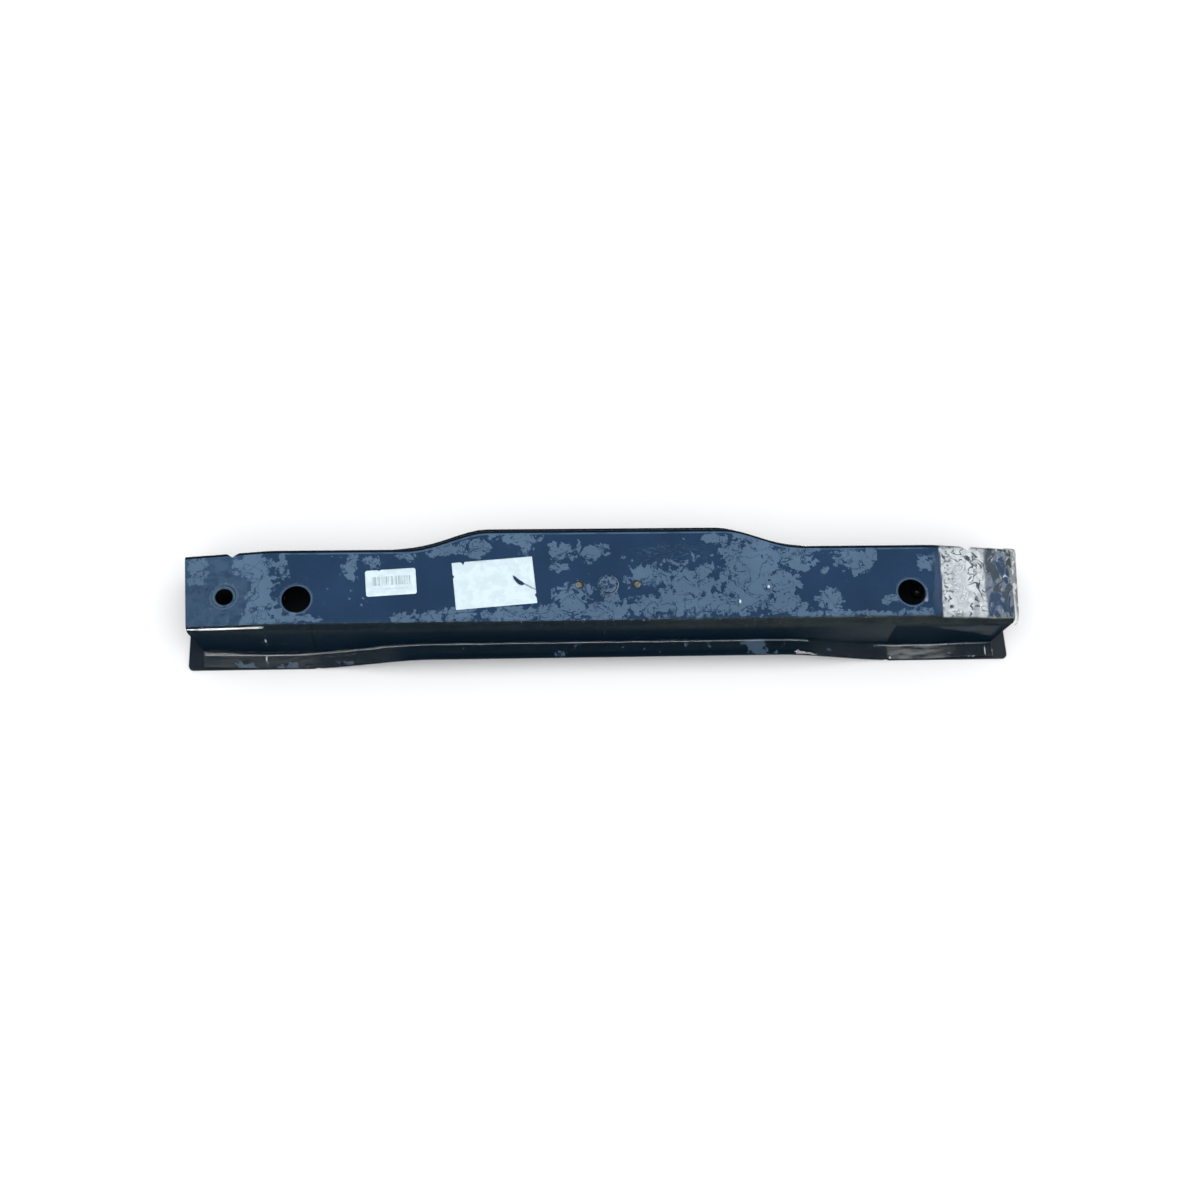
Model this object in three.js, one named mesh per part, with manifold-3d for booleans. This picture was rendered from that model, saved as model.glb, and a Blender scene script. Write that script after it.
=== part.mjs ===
// Bumper reinforcement beam: a pressed hat-section crossmember with its rear
// closing plate, mounting plates, weld nuts, tow-eye socket, labels and film.
// Millimetres. X runs along the beam, Y points to the humped edge and Z out of
// the front face. The beam lies on its back: z = 0 is the rear of the mounting plates.

import * as THREE from "three";
import { mergeVertices } from "three/addons/utils/BufferGeometryUtils.js";
import Module from "manifold-3d";

const wasm = await Module();
wasm.setup();

// ---------------------------------------------------------------- sizes

const gap = 0.3; // between two pieces that touch
const mergeTolerance = 1e-3;
const overCut = 5; // how far a cutter runs past what it cuts

// Pressed channel
const beamLength = 1058; // tip to tip of the face, along its humped edge
const faceHeight = 107.5; // wall to wall at the front
const sheet = 2;
const frontRadius = 8;
const flangeRadius = 3; // concave bend between wall and flange
const flangeWidth = 22;
const wallDraft = 1.3; // each wall opens this much towards the flange
const endDepth = 77; // face to flange where the beam is mounted
const centreDepth = 51.3; // face to flange in the bowed middle
const bowFromTip = 150; // the flange leaves the mounting plane here
const bowInner = 222; // and is level again from here to the middle

// Hump on the +Y edge
const humpRise = 25;
const humpShoulder = 150; // half length of its level top
const humpFoot = 259; // half length over both slopes
const humpSkew = 1.15; // over 1 rounds the foot more than the shoulder

// Swept wings at both ends
const wingLength = 107; // bend to tip
const wingBendReach = 8; // half length of the rounded bend
const wingDrop = 12; // how far the tip falls behind the face
const wingTaper = 2.2; // each wall comes in this much at the tip
const tipLean = 7; // the tip's lower corner is this much further in
const flangeSetback = 15; // and its flange this much further in than its face
const notchFromTip = 60; // relief notches in the humped edge
const notchWidth = 19;
const notchDepth = 8.5;
const notchReach = 18; // how far each notch runs down the wall

// Holes in the face
const accessFromTip = 141;
const accessDrop = 15.2; // below the middle of the face
const accessBore = 35.5;
const towFromTip = 52;
const towDrop = 8;
const towBore = 21;
const towTubeWall = 4;
const towPadLength = 62;
const towPadFromBend = 6; // the pad's edges keep this far from the front radii
const towPadThickness = 3;
const centreHolePlace = 36;
const centreHoleBore = 11;
const plugHoleBore = 20;
const plugLip = 3.25; // how far the plug's head covers the face round its hole
const plugHeadThickness = 0.4;
const plugStemWall = 1.5;
const plugStemDepth = 7;

// Rear plates
const mountThickness = 3;
const mountLength = 162;
const mountFromTip = 1;
const mountCornerRadius = 6;
const mountBoltBore = 11;
const innerBoltsFromTip = 111;
const outerBoltsFromTip = 29;
const upperBoltsFromWall = 36.75;
const lowerBoltsFromWall = 15.75;
const closingThickness = 1.5;
const closingClearance = 3; // end of the closing plate to a mounting plate
const bulkheadThickness = 2;
const bulkheadFromPlateEnd = 4;

// Weld nuts
const mountNut = { acrossFlats: 17, bore: 8.5, thickness: 9 };
const centreNut = { acrossFlats: 16, bore: 6.6, thickness: 6.5 };

// Labels and film
const labelThickness = 0.2;
const smallLabel = { length: 62.8, width: 35.3, x: -271.7, y: 6.2, turn: 3.4, corner: 3 };
const largeLabel = { length: 101.6, width: 64, x: -143, y: 3.7, turn: 4.6, corner: 0.8 };
const filmOffset = 1; // clear of the labels and the plug
const filmThickness = 0.3;
const filmCutMargin = 1.75; // bare metal round each hole that the film leaves open

// How finely round shapes are faceted
const frontArcSteps = 6;
const flangeArcSteps = 3;
const humpSteps = 9;
const bowSteps = 8;
const holeSides = 40;
const smallHoleSides = 24;

// ---------------------------------------------------------------- worked-out sizes

const halfLength = beamLength / 2;
const halfHeight = faceHeight / 2;
const wingBend = halfLength - wingLength;
const bowOuter = halfLength - bowFromTip;
const mountFlangeZ = mountThickness + gap + sheet; // front of the flange
const faceZ = mountFlangeZ + endDepth;
const centreFlangeZ = faceZ - centreDepth;
const wingSlope = wingDrop / wingLength;
const wingAngle = Math.atan(wingSlope);
const flangeEdge = halfHeight + wallDraft + flangeWidth; // from the middle of the face
const notchPlace = halfLength - notchFromTip;
const accessPlace = halfLength - accessFromTip;
const towPlace = halfLength - towFromTip;
const towTubeOuter = towBore + 2 * towTubeWall;
const towPadWidth = 2 * (halfHeight - towDrop - frontRadius - towPadFromBend);
const mountOuter = halfLength - mountFromTip;
const mountInner = mountOuter - mountLength;
const bulkheadPlace = mountInner + bulkheadFromPlateEnd;

// ---------------------------------------------------------------- materials

const material = (color, roughness, metalness) =>
  new THREE.MeshStandardMaterial({ color, roughness, metalness });

const paint = material(0x284464, 0.35, 0.15);
const innerPaint = material(0x1c3048, 0.45, 0.15);
const bareSteel = material(0xa39c8c, 0.45, 0.8);
const plugSteel = material(0x3a5474, 0.4, 0.3);
const paper = material(0xe6f0f3, 0.6, 0);
const film = new THREE.MeshStandardMaterial({
  color: 0xc8d6d8,
  roughness: 0.15,
  metalness: 0,
  transparent: true,
  opacity: 0.25,
});

// ---------------------------------------------------------------- solids

// A closed geometry as a manifold-3d solid.
function solidOf(geometry) {
  const plain = geometry.clone();
  plain.deleteAttribute("normal");
  plain.deleteAttribute("uv");
  const merged = mergeVertices(plain, mergeTolerance);
  return new wasm.Manifold(
    new wasm.Mesh({
      numProp: 3,
      vertProperties: merged.attributes.position.array,
      triVerts: new Uint32Array(merged.index.array),
    }),
  );
}

function geometryOf(solid) {
  const mesh = solid.getMesh();
  const geometry = new THREE.BufferGeometry();
  const positions = new Float32Array(mesh.vertProperties);
  geometry.setAttribute("position", new THREE.BufferAttribute(positions, 3));
  geometry.setIndex(new THREE.BufferAttribute(new Uint32Array(mesh.triVerts), 1));
  geometry.computeVertexNormals();
  return geometry;
}

function cut(geometry, cutters) {
  let solid = solidOf(geometry);
  for (const cutter of cutters) {
    solid = solid.subtract(solidOf(cutter));
  }
  return geometryOf(solid);
}

// A bar along Z, from z = low to z = high.
function barAlongZ(diameter, x, y, low, high, sides) {
  const bar = new THREE.CylinderGeometry(diameter / 2, diameter / 2, high - low, sides);
  bar.rotateX(Math.PI / 2);
  bar.translate(x, y, (low + high) / 2);
  return bar;
}

// A flat outline in X and Y, from z = low to z = high.
function plate(outline, low, high, curveSegments = 4) {
  const options = { depth: high - low, bevelEnabled: false, curveSegments };
  const geometry = new THREE.ExtrudeGeometry(outline, options);
  geometry.translate(0, 0, low);
  return geometry;
}

function roundHole(x, y, diameter) {
  const hole = new THREE.Path();
  hole.absarc(x, y, diameter / 2, 0, 2 * Math.PI, true);
  return hole;
}

// A rectangle whose corners are rounded, about the origin.
function roundedRectangle(length, width, corner) {
  const outline = new THREE.Shape();
  const x = length / 2 - corner;
  const y = width / 2 - corner;
  outline.absarc(x, y, corner, 0, Math.PI / 2);
  outline.absarc(-x, y, corner, Math.PI / 2, Math.PI);
  outline.absarc(-x, -y, corner, Math.PI, 1.5 * Math.PI);
  outline.absarc(x, -y, corner, 1.5 * Math.PI, 2 * Math.PI);
  return outline;
}

// ---------------------------------------------------------------- shape of the channel

const smooth = (t) => t * t * (3 - 2 * t);

// 1 within the inner place, 0 beyond the outer one, eased between them.
function easedPlateau(x, inner, outer, skew = 1) {
  const t = THREE.MathUtils.clamp((outer - Math.abs(x)) / (outer - inner), 0, 1);
  return smooth(t ** skew);
}

// How far the face has fallen behind its middle, with a rounded bend.
function faceDrop(x) {
  const past = Math.abs(x) - wingBend;
  if (past <= -wingBendReach) return 0;
  if (past >= wingBendReach) return past * wingSlope;
  return ((past + wingBendReach) ** 2 / (4 * wingBendReach)) * wingSlope;
}

function wingShare(x) {
  return Math.max(0, (Math.abs(x) - wingBend) / wingLength);
}

const faceAt = (x) => faceZ - faceDrop(x);

const flangeAt = (x) =>
  mountFlangeZ + (centreFlangeZ - mountFlangeZ) * easedPlateau(x, bowInner, bowOuter);

// Outer wall places at the front: the plain edge is -1, the humped edge +1.
function wallAt(x, side) {
  const hump = side > 0 ? humpRise * easedPlateau(x, humpShoulder, humpFoot, humpSkew) : 0;
  return halfHeight + hump - wingTaper * wingShare(x);
}

// Half of the section on one side, from the flange's edge to the face, moved
// outwards from the channel's outer surface by the offset (inwards if negative).
function halfSection(x, side, offset) {
  const wall = wallAt(x, side);
  const rear = wall + wallDraft;
  const face = faceAt(x);
  const flange = flangeAt(x);
  const points = [new THREE.Vector2(rear + flangeWidth, flange + offset)];
  const bend = new THREE.Vector2(rear + flangeRadius, flange + flangeRadius);
  for (let i = 0; i <= flangeArcSteps; i++) {
    const angle = -Math.PI / 2 - (i / flangeArcSteps) * (Math.PI / 2);
    const r = flangeRadius - offset;
    points.push(new THREE.Vector2(bend.x + r * Math.cos(angle), bend.y + r * Math.sin(angle)));
  }
  const corner = new THREE.Vector2(wall - frontRadius, face - frontRadius);
  for (let i = 0; i <= frontArcSteps; i++) {
    const angle = (i / frontArcSteps) * (Math.PI / 2);
    const r = frontRadius + offset;
    points.push(new THREE.Vector2(corner.x + r * Math.cos(angle), corner.y + r * Math.sin(angle)));
  }
  return points.map((p) => new THREE.Vector2(side * p.x, p.y));
}

// The whole section between two offsets as a closed loop of (y, z) points.
function sectionLoop(x, outerOffset, innerOffset) {
  const path = (offset) => [
    ...halfSection(x, -1, offset),
    ...halfSection(x, 1, offset).reverse(),
  ];
  return [...path(outerOffset), ...path(innerOffset).reverse()];
}

// Places along the beam where its section changes.
function stations() {
  const places = [0, bowInner, wingBend, halfLength];
  for (let i = 0; i <= humpSteps; i++) {
    places.push(humpShoulder + (i / humpSteps) * (humpFoot - humpShoulder));
  }
  for (let i = 1; i <= bowSteps; i++) {
    places.push(humpFoot + (i / bowSteps) * (bowOuter - humpFoot));
  }
  places.push(wingBend - wingBendReach, wingBend + wingBendReach);
  const half = [...new Set(places)].sort((a, b) => a - b);
  const mirrored = half.slice(1).reverse();
  return [...mirrored.map((x) => -x), ...half];
}

// A point of the section at x, with the tip's lean and setback worked in. The
// face stays in the wing's plane, and the flange in the mounting plane.
function placeOnBeam(x, y, z) {
  const lean = (tipLean * (halfHeight - y)) / faceHeight;
  const setback = (flangeSetback * (faceAt(x) - z)) / endDepth;
  const moved = x - Math.sign(x) * wingShare(x) * (lean + setback);
  const faceShare = (z - flangeAt(x)) / (faceAt(x) - flangeAt(x));
  const lift = faceShare * (faceAt(moved) - faceAt(x));
  return new THREE.Vector3(moved, y, z + lift);
}

function loft(outerOffset, innerOffset) {
  const xs = stations();
  const loops = xs.map((x) =>
    sectionLoop(x, outerOffset, innerOffset).map((p) => placeOnBeam(x, p.x, p.y)),
  );
  const count = loops[0].length;
  const positions = loops.flat().flatMap((p) => [p.x, p.y, p.z]);
  const index = [];
  for (let s = 0; s + 1 < loops.length; s++) {
    for (let i = 0; i < count; i++) {
      const j = (i + 1) % count;
      const a = s * count;
      const b = a + count;
      index.push(a + i, a + j, b + j, a + i, b + j, b + i);
    }
  }
  // The ends are strips between the outer and the inner path.
  const last = (loops.length - 1) * count;
  for (let i = 0; i + 1 < count / 2; i++) {
    const k = count - 1 - i;
    index.push(i, k, k - 1, i, k - 1, i + 1);
    index.push(last + i, last + k - 1, last + k, last + i, last + i + 1, last + k - 1);
  }
  const geometry = new THREE.BufferGeometry();
  geometry.setAttribute("position", new THREE.Float32BufferAttribute(positions, 3));
  geometry.setIndex(index);
  const solid = solidOf(geometry);
  return solid.volume() > 0 ? geometry : turnedInsideOut(geometry);
}

function turnedInsideOut(geometry) {
  const index = Array.from(geometry.index.array);
  for (let i = 0; i < index.length; i += 3) {
    [index[i + 1], index[i + 2]] = [index[i + 2], index[i + 1]];
  }
  geometry.setIndex(index);
  return geometry;
}

// ---------------------------------------------------------------- sub-parts

function reliefNotch(side) {
  const outline = new THREE.Shape();
  const rise = overCut;
  const spread = (notchWidth / 2) * (1 + rise / notchDepth);
  outline.moveTo(0, -notchDepth);
  outline.lineTo(spread, rise);
  outline.lineTo(-spread, rise);
  outline.closePath();
  const depth = notchReach + overCut;
  const geometry = new THREE.ExtrudeGeometry(outline, { depth, bevelEnabled: false });
  const x = side * notchPlace;
  geometry.translate(x, wallAt(x, 1), faceAt(x) - notchReach);
  return geometry;
}

function channelGeometry() {
  const low = faceZ - wingDrop - frontRadius - overCut;
  const high = faceZ + overCut;
  const through = (diameter, x, y, sides) => barAlongZ(diameter, x, y, low, high, sides);
  const cutters = [
    through(towTubeOuter + 2 * gap, -towPlace, -towDrop, holeSides),
    through(plugHoleBore, 0, 0, holeSides),
  ];
  for (const side of [-1, 1]) {
    cutters.push(through(accessBore, side * accessPlace, -accessDrop, holeSides));
    cutters.push(through(centreHoleBore, side * centreHolePlace, 0, smallHoleSides));
    cutters.push(reliefNotch(side));
  }
  return cut(loft(0, -sheet), cutters);
}

// A plate bowed like the flange and seated behind it.
function closingPlateGeometry() {
  const half = mountInner - closingClearance;
  const xs = stations().filter((x) => Math.abs(x) < half - 1);
  const places = [-half, ...xs, half];
  const edge = (x, side) => side * (wallAt(x, side) + wallDraft + flangeWidth);
  const top = (x) => flangeAt(x) - sheet - gap;
  const positions = [];
  for (const x of places) {
    positions.push(x, edge(x, -1), top(x), x, edge(x, 1), top(x));
    const low = top(x) - closingThickness;
    positions.push(x, edge(x, 1), low, x, edge(x, -1), low);
  }
  const index = [];
  for (let s = 0; s + 1 < places.length; s++) {
    for (let i = 0; i < 4; i++) {
      const j = (i + 1) % 4;
      const a = 4 * s;
      index.push(a + i, a + 4 + j, a + j, a + i, a + 4 + i, a + 4 + j);
    }
  }
  const last = 4 * (places.length - 1);
  index.push(0, 1, 2, 0, 2, 3, last, last + 2, last + 1, last, last + 3, last + 2);
  const geometry = new THREE.BufferGeometry();
  geometry.setAttribute("position", new THREE.Float32BufferAttribute(positions, 3));
  geometry.setIndex(index);
  return solidOf(geometry).volume() > 0 ? geometry : turnedInsideOut(geometry);
}

const mountBolts = [];
for (const [column, fromTip] of [["inner", innerBoltsFromTip], ["outer", outerBoltsFromTip]]) {
  const x = halfLength - fromTip;
  mountBolts.push({ name: `${column}_upper`, x, y: halfHeight - upperBoltsFromWall });
  mountBolts.push({ name: `${column}_lower`, x, y: lowerBoltsFromWall - halfHeight });
}

function mountingPlateGeometry(side) {
  const middle = (side * (mountOuter + mountInner)) / 2;
  const outline = roundedRectangle(mountLength, 2 * flangeEdge, mountCornerRadius);
  for (const bolt of mountBolts) {
    outline.holes.push(roundHole(side * bolt.x - middle, bolt.y, mountBoltBore));
  }
  const geometry = plate(outline, 0, mountThickness, 6);
  geometry.translate(middle, 0, 0);
  return geometry;
}

// A partition that fills the channel's section just inside a mounting plate.
function bulkheadGeometry(side) {
  const x = side * bulkheadPlace;
  const inset = sheet + gap;
  const corner = frontRadius - inset;
  const top = faceAt(x) - inset;
  const low = mountThickness + gap;
  const reach = (s) => s * (wallAt(x, s) - inset);
  const outline = new THREE.Shape();
  outline.moveTo(reach(-1), low);
  outline.lineTo(reach(1), low);
  outline.absarc(reach(1) - corner, top - corner, corner, 0, Math.PI / 2);
  outline.absarc(reach(-1) + corner, top - corner, corner, Math.PI / 2, Math.PI);
  const geometry = plate(outline, -bulkheadThickness / 2, bulkheadThickness / 2);
  geometry.rotateX(Math.PI / 2);
  geometry.rotateZ(Math.PI / 2);
  geometry.translate(x, 0, 0);
  return geometry;
}

// A welded tube from the mounting plate through the face of the left wing.
function towSocketGeometry() {
  const low = mountThickness + gap;
  const high = faceAt(towPlace) + gap;
  const profile = [
    new THREE.Vector2(towBore / 2, low),
    new THREE.Vector2(towTubeOuter / 2, low),
    new THREE.Vector2(towTubeOuter / 2, high),
    new THREE.Vector2(towBore / 2, high),
    new THREE.Vector2(towBore / 2, low),
  ];
  const geometry = new THREE.LatheGeometry(profile, holeSides);
  geometry.rotateX(Math.PI / 2);
  geometry.translate(-towPlace, -towDrop, 0);
  return geometry;
}

// A flat pad behind the swept face, round the tow-eye socket.
function towPadGeometry() {
  const pad = new THREE.BoxGeometry(towPadLength, towPadWidth, towPadThickness);
  pad.rotateY(-wingAngle);
  const behind = (sheet + gap + towPadThickness / 2) / Math.cos(wingAngle);
  pad.translate(-towPlace, -towDrop, faceAt(towPlace) - behind);
  const bore = towTubeOuter + 2 * gap;
  return cut(pad, [barAlongZ(bore, -towPlace, -towDrop, 0, faceZ, holeSides)]);
}

// A hexagon nut that stands on the seat at z = low.
function nutGeometry(nut, x, y, low) {
  const outline = new THREE.Shape();
  const corner = nut.acrossFlats / 2 / Math.cos(Math.PI / 6);
  for (let i = 0; i < 6; i++) {
    const angle = (i * Math.PI) / 3;
    const point = [corner * Math.cos(angle), corner * Math.sin(angle)];
    if (i === 0) outline.moveTo(...point);
    else outline.lineTo(...point);
  }
  outline.closePath();
  outline.holes.push(roundHole(0, 0, nut.bore));
  const geometry = plate(outline, low, low + nut.thickness, 8);
  geometry.translate(x, y, 0);
  return geometry;
}

// A cup-shaped blanking plug: a thin head on the face and a stem in its hole.
function plugGeometry() {
  const stem = plugHoleBore / 2 - gap;
  const seat = faceZ + gap;
  const head = seat + plugHeadThickness;
  const foot = faceZ - plugStemDepth;
  const profile = [
    new THREE.Vector2(0, head),
    new THREE.Vector2(0, seat - plugStemWall),
    new THREE.Vector2(stem - plugStemWall, seat - plugStemWall),
    new THREE.Vector2(stem - plugStemWall, foot),
    new THREE.Vector2(stem, foot),
    new THREE.Vector2(stem, seat),
    new THREE.Vector2(plugHoleBore / 2 + plugLip, seat),
    new THREE.Vector2(plugHoleBore / 2 + plugLip, head),
    new THREE.Vector2(0, head),
  ];
  const geometry = new THREE.LatheGeometry(profile, holeSides);
  geometry.rotateX(Math.PI / 2);
  return geometry;
}

function labelGeometry(label) {
  const outline = roundedRectangle(label.length, label.width, label.corner);
  const geometry = plate(outline, faceZ + gap, faceZ + gap + labelThickness);
  geometry.rotateZ(THREE.MathUtils.degToRad(label.turn));
  geometry.translate(label.x, label.y, 0);
  return geometry;
}

function filmGeometry() {
  const low = faceZ - wingDrop - overCut;
  const high = faceZ + overCut;
  const opening = (bore, x, y) =>
    barAlongZ(bore + 2 * filmCutMargin, x, y, low, high, holeSides);
  return cut(loft(filmOffset + filmThickness, filmOffset), [
    opening(accessBore, -accessPlace, -accessDrop),
    opening(accessBore, accessPlace, -accessDrop),
    opening(towTubeOuter, -towPlace, -towDrop),
  ]);
}

// ---------------------------------------------------------------- assembly

const beam = new THREE.Group();

function add(name, geometry, look) {
  const mesh = new THREE.Mesh(geometry, look);
  mesh.name = name;
  beam.add(mesh);
}

add("front_channel", channelGeometry(), paint);
add("rear_closing_plate", closingPlateGeometry(), paint);
for (const [hand, side] of [["left", -1], ["right", 1]]) {
  add(`${hand}_mounting_plate`, mountingPlateGeometry(side), paint);
  add(`${hand}_bulkhead`, bulkheadGeometry(side), innerPaint);
  for (const bolt of mountBolts) {
    const nut = nutGeometry(mountNut, side * bolt.x, bolt.y, mountThickness + gap);
    add(`${hand}_mount_nut_${bolt.name}`, nut, bareSteel);
  }
  const seat = faceZ - sheet - gap - centreNut.thickness;
  add(`${hand}_centre_nut`, nutGeometry(centreNut, side * centreHolePlace, 0, seat), bareSteel);
}
add("tow_eye_socket", towSocketGeometry(), innerPaint);
add("tow_socket_pad", towPadGeometry(), innerPaint);
add("blanking_plug", plugGeometry(), plugSteel);
add("small_label", labelGeometry(smallLabel), paper);
add("large_label", labelGeometry(largeLabel), paper);
add("protective_film", filmGeometry(), film);

// The hump takes the beam's middle off the face's: the origin is under the beam's.
beam.position.y = -humpRise / 2;

export default beam;
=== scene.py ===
"""Finishes a vehicle's bumper reinforcement beam: cloudy blue paint, steel weld
nuts, a threaded tow-eye socket, two paper labels and a loose clear film."""

import math

import bmesh
import bpy
from mathutils import Matrix, Vector, noise


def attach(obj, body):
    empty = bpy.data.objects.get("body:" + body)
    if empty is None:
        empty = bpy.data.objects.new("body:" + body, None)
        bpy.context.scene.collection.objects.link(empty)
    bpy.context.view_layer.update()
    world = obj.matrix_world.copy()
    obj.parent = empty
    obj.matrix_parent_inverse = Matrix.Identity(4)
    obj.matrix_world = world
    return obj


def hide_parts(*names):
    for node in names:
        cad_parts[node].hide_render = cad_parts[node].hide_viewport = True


bl_info = {
    "name": "Bumper Reinforcement Beam",
    "version": (1, 0, 0),
    "blender": (4, 5, 0),
    "location": "View3D > Sidebar > Beam",
    "description": "Paints and dresses a bumper reinforcement beam piece by piece",
    "category": "Object",
}

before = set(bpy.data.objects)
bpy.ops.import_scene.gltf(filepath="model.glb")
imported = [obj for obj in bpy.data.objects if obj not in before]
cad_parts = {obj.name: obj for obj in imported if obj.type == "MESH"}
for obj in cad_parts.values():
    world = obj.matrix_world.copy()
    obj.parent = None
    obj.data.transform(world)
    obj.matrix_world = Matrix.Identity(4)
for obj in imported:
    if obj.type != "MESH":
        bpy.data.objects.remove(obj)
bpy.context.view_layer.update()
MM = 0.001

# ---------------------------------------------------------------- sizes of the beam, in millimetres

HALF_LENGTH = 529.0
HALF_HEIGHT = 53.75
CENTRE_Y = -12.5  # middle of the plain face
FRONT_RADIUS = 8.0
FILM_FILLET = 3.4  # radius of the film in the corner of wall and flange
FLANGE_WIDTH = 22.0
WALL_DRAFT = 1.3
FACE_Z = 82.3
END_DEPTH = 77.0
END_FLANGE_Z = 5.3
CENTRE_FLANGE_Z = 31.0
BOW_INNER = 222.0
BOW_OUTER = 379.0
FOLD_X = 369.0  # upright fold in both walls
HUMP_RISE = 25.0
HUMP_SHOULDER = 150.0
HUMP_FOOT = 259.0
HUMP_SKEW = 1.15
WING_LENGTH = 107.0
WING_BEND = HALF_LENGTH - WING_LENGTH
WING_REACH = 8.0
WING_DROP = 12.0
WING_TAPER = 2.2
TIP_LEAN = 7.0
FLANGE_SETBACK = 15.0
NOTCH_X = 469.0
NOTCH_WIDTH = 19.0
NOTCH_DEPTH = 8.5
ACCESS_X = 388.0
ACCESS_Y = -15.2
ACCESS_BORE = 35.5
TOW_X = -477.0
TOW_Y = -8.0
TOW_BORE = 21.0
TOW_OUTER = 29.0
CENTRE_HOLE_X = 36.0
PLUG_BORE = 20.0
PLUG_HEAD = 13.25  # radius
PLUG_FOOT = 7.0  # how far its stem runs behind the face
MOUNT_TOP = 3.3
MOUNT_BOLTS = {
    "inner_upper": (418.0, 17.0),
    "inner_lower": (418.0, -38.0),
    "outer_upper": (500.0, 17.0),
    "outer_lower": (500.0, -38.0),
}

# ---------------------------------------------------------------- settings


def colour_setting(**words):
    return bpy.props.FloatVectorProperty(subtype="COLOR", size=3, min=0, max=1, **words)


def power_setting(**words):
    return bpy.props.FloatProperty(subtype="POWER", min=0, max=1000, **words)


def length_setting(**words):
    return bpy.props.FloatProperty(subtype="DISTANCE", unit="LENGTH", **words)


class PaintSettings(bpy.types.PropertyGroup):
    """Colours and finish of the blue coat"""

    clear_colour: colour_setting(
        name="Clear paint",
        description="Paint where the film lies tight on it",
        default=(0.0195, 0.0465, 0.0985),
    )
    cloudy_colour: colour_setting(
        name="Cloudy paint",
        description="Paint in the ragged islands where the film has let go",
        default=(0.088, 0.148, 0.228),
    )
    # Painted shade: the walls and flanges take this darker blue in place of the clear paint.
    wall_shade_colour: colour_setting(
        name="Wall paint",
        description="Painted shade: the clear paint darkened on the walls and flanges",
        default=(0.0026, 0.0095, 0.0180),
    )
    # Painted shade: near black, so the box and the socket's bore look dark through the holes.
    recess_shade_colour: colour_setting(
        name="Inside paint",
        description="Painted shade: near-black paint inside the box, on its partitions and down the socket",
        default=(0.0010, 0.0022, 0.0034),
    )
    gloss_roughness: bpy.props.FloatProperty(
        name="Roughness",
        description="Roughness of the clear paint",
        subtype="FACTOR",
        min=0,
        max=1,
        default=0.32,
    )


class FilmSettings(bpy.types.PropertyGroup):
    """Fit and looks of the clear film"""

    clearance: length_setting(
        name="Clearance",
        description="Gap between the paint and the film",
        min=0.0007,
        max=0.003,
        default=0.0010,
    )
    ripple: length_setting(
        name="Ripple",
        description="Height of the small ripples where the film is tight",
        min=0,
        max=0.001,
        default=0.00012,
    )
    loose_wrinkle: length_setting(
        name="Loose wrinkle",
        description="Height of the folds on the right wing",
        min=0,
        max=0.004,
        default=0.0011,
    )


class LabelSettings(bpy.types.PropertyGroup):
    """Colours of the two paper labels"""

    paper_colour: colour_setting(
        name="Paper",
        description="Coated label paper",
        default=(0.68, 0.83, 0.89),
    )
    ink_colour: colour_setting(
        name="Print",
        description="Faded grey print",
        default=(0.28, 0.34, 0.38),
    )


class MetalSettings(bpy.types.PropertyGroup):
    """Colour of the bare steel fittings"""

    steel_colour: colour_setting(
        name="Nut steel",
        description="Yellow-grey plated steel",
        default=(0.13, 0.115, 0.085),
    )


class StageSettings(bpy.types.PropertyGroup):
    """Floor and studio light"""

    floor_colour: colour_setting(
        name="Floor",
        description="Plain pale floor",
        default=(0.98, 0.98, 0.98),
    )
    key_power: power_setting(
        name="Key light",
        description="Power of the large lamp behind the beam",
        default=24,
    )
    fill_power: power_setting(
        name="Fill light",
        description="Power of the lamp over the near side",
        default=5,
    )
    wing_power: power_setting(
        name="Wing light",
        description="Power of the lamp that glances off the right wing",
        default=4.6,
    )
    edge_power: power_setting(
        name="Edge light",
        description="Power of the strip that draws thin lines along the bends",
        default=80,
    )


# ---------------------------------------------------------------- shape of the pressed channel


def smooth(t):
    return t * t * (3 - 2 * t)


def clamp(value, low=0.0, high=1.0):
    return max(low, min(high, value))


def eased(value, low, high):
    """0 below low, 1 above high, eased between them."""
    return smooth(clamp((value - low) / (high - low)))


def plateau(x, inner, outer, skew=1.0):
    """1 within the inner place, 0 beyond the outer one, eased between them."""
    return smooth(clamp((outer - abs(x)) / (outer - inner)) ** skew)


def face_at(x):
    past = abs(x) - WING_BEND
    slope = WING_DROP / WING_LENGTH
    if past <= -WING_REACH:
        return FACE_Z
    if past >= WING_REACH:
        return FACE_Z - past * slope
    return FACE_Z - (past + WING_REACH) ** 2 / (4 * WING_REACH) * slope


def flange_at(x):
    return END_FLANGE_Z + (CENTRE_FLANGE_Z - END_FLANGE_Z) * plateau(x, BOW_INNER, BOW_OUTER)


def wing_share(x):
    return max(0.0, (abs(x) - WING_BEND) / WING_LENGTH)


def wall_at(x, side):
    hump = HUMP_RISE * plateau(x, HUMP_SHOULDER, HUMP_FOOT, HUMP_SKEW) if side > 0 else 0.0
    return HALF_HEIGHT + hump - WING_TAPER * wing_share(x)


def place_on_beam(x, y, z):
    """A point of the section at x with the tip's lean and setback worked in."""
    lean = TIP_LEAN * (HALF_HEIGHT - y) / (2 * HALF_HEIGHT)
    setback = FLANGE_SETBACK * (face_at(x) - z) / END_DEPTH
    moved = x - math.copysign(1, x) * wing_share(x) * (lean + setback)
    share = (z - flange_at(x)) / (face_at(x) - flange_at(x))
    return Vector((moved, y, z + share * (face_at(moved) - face_at(x))))


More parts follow.
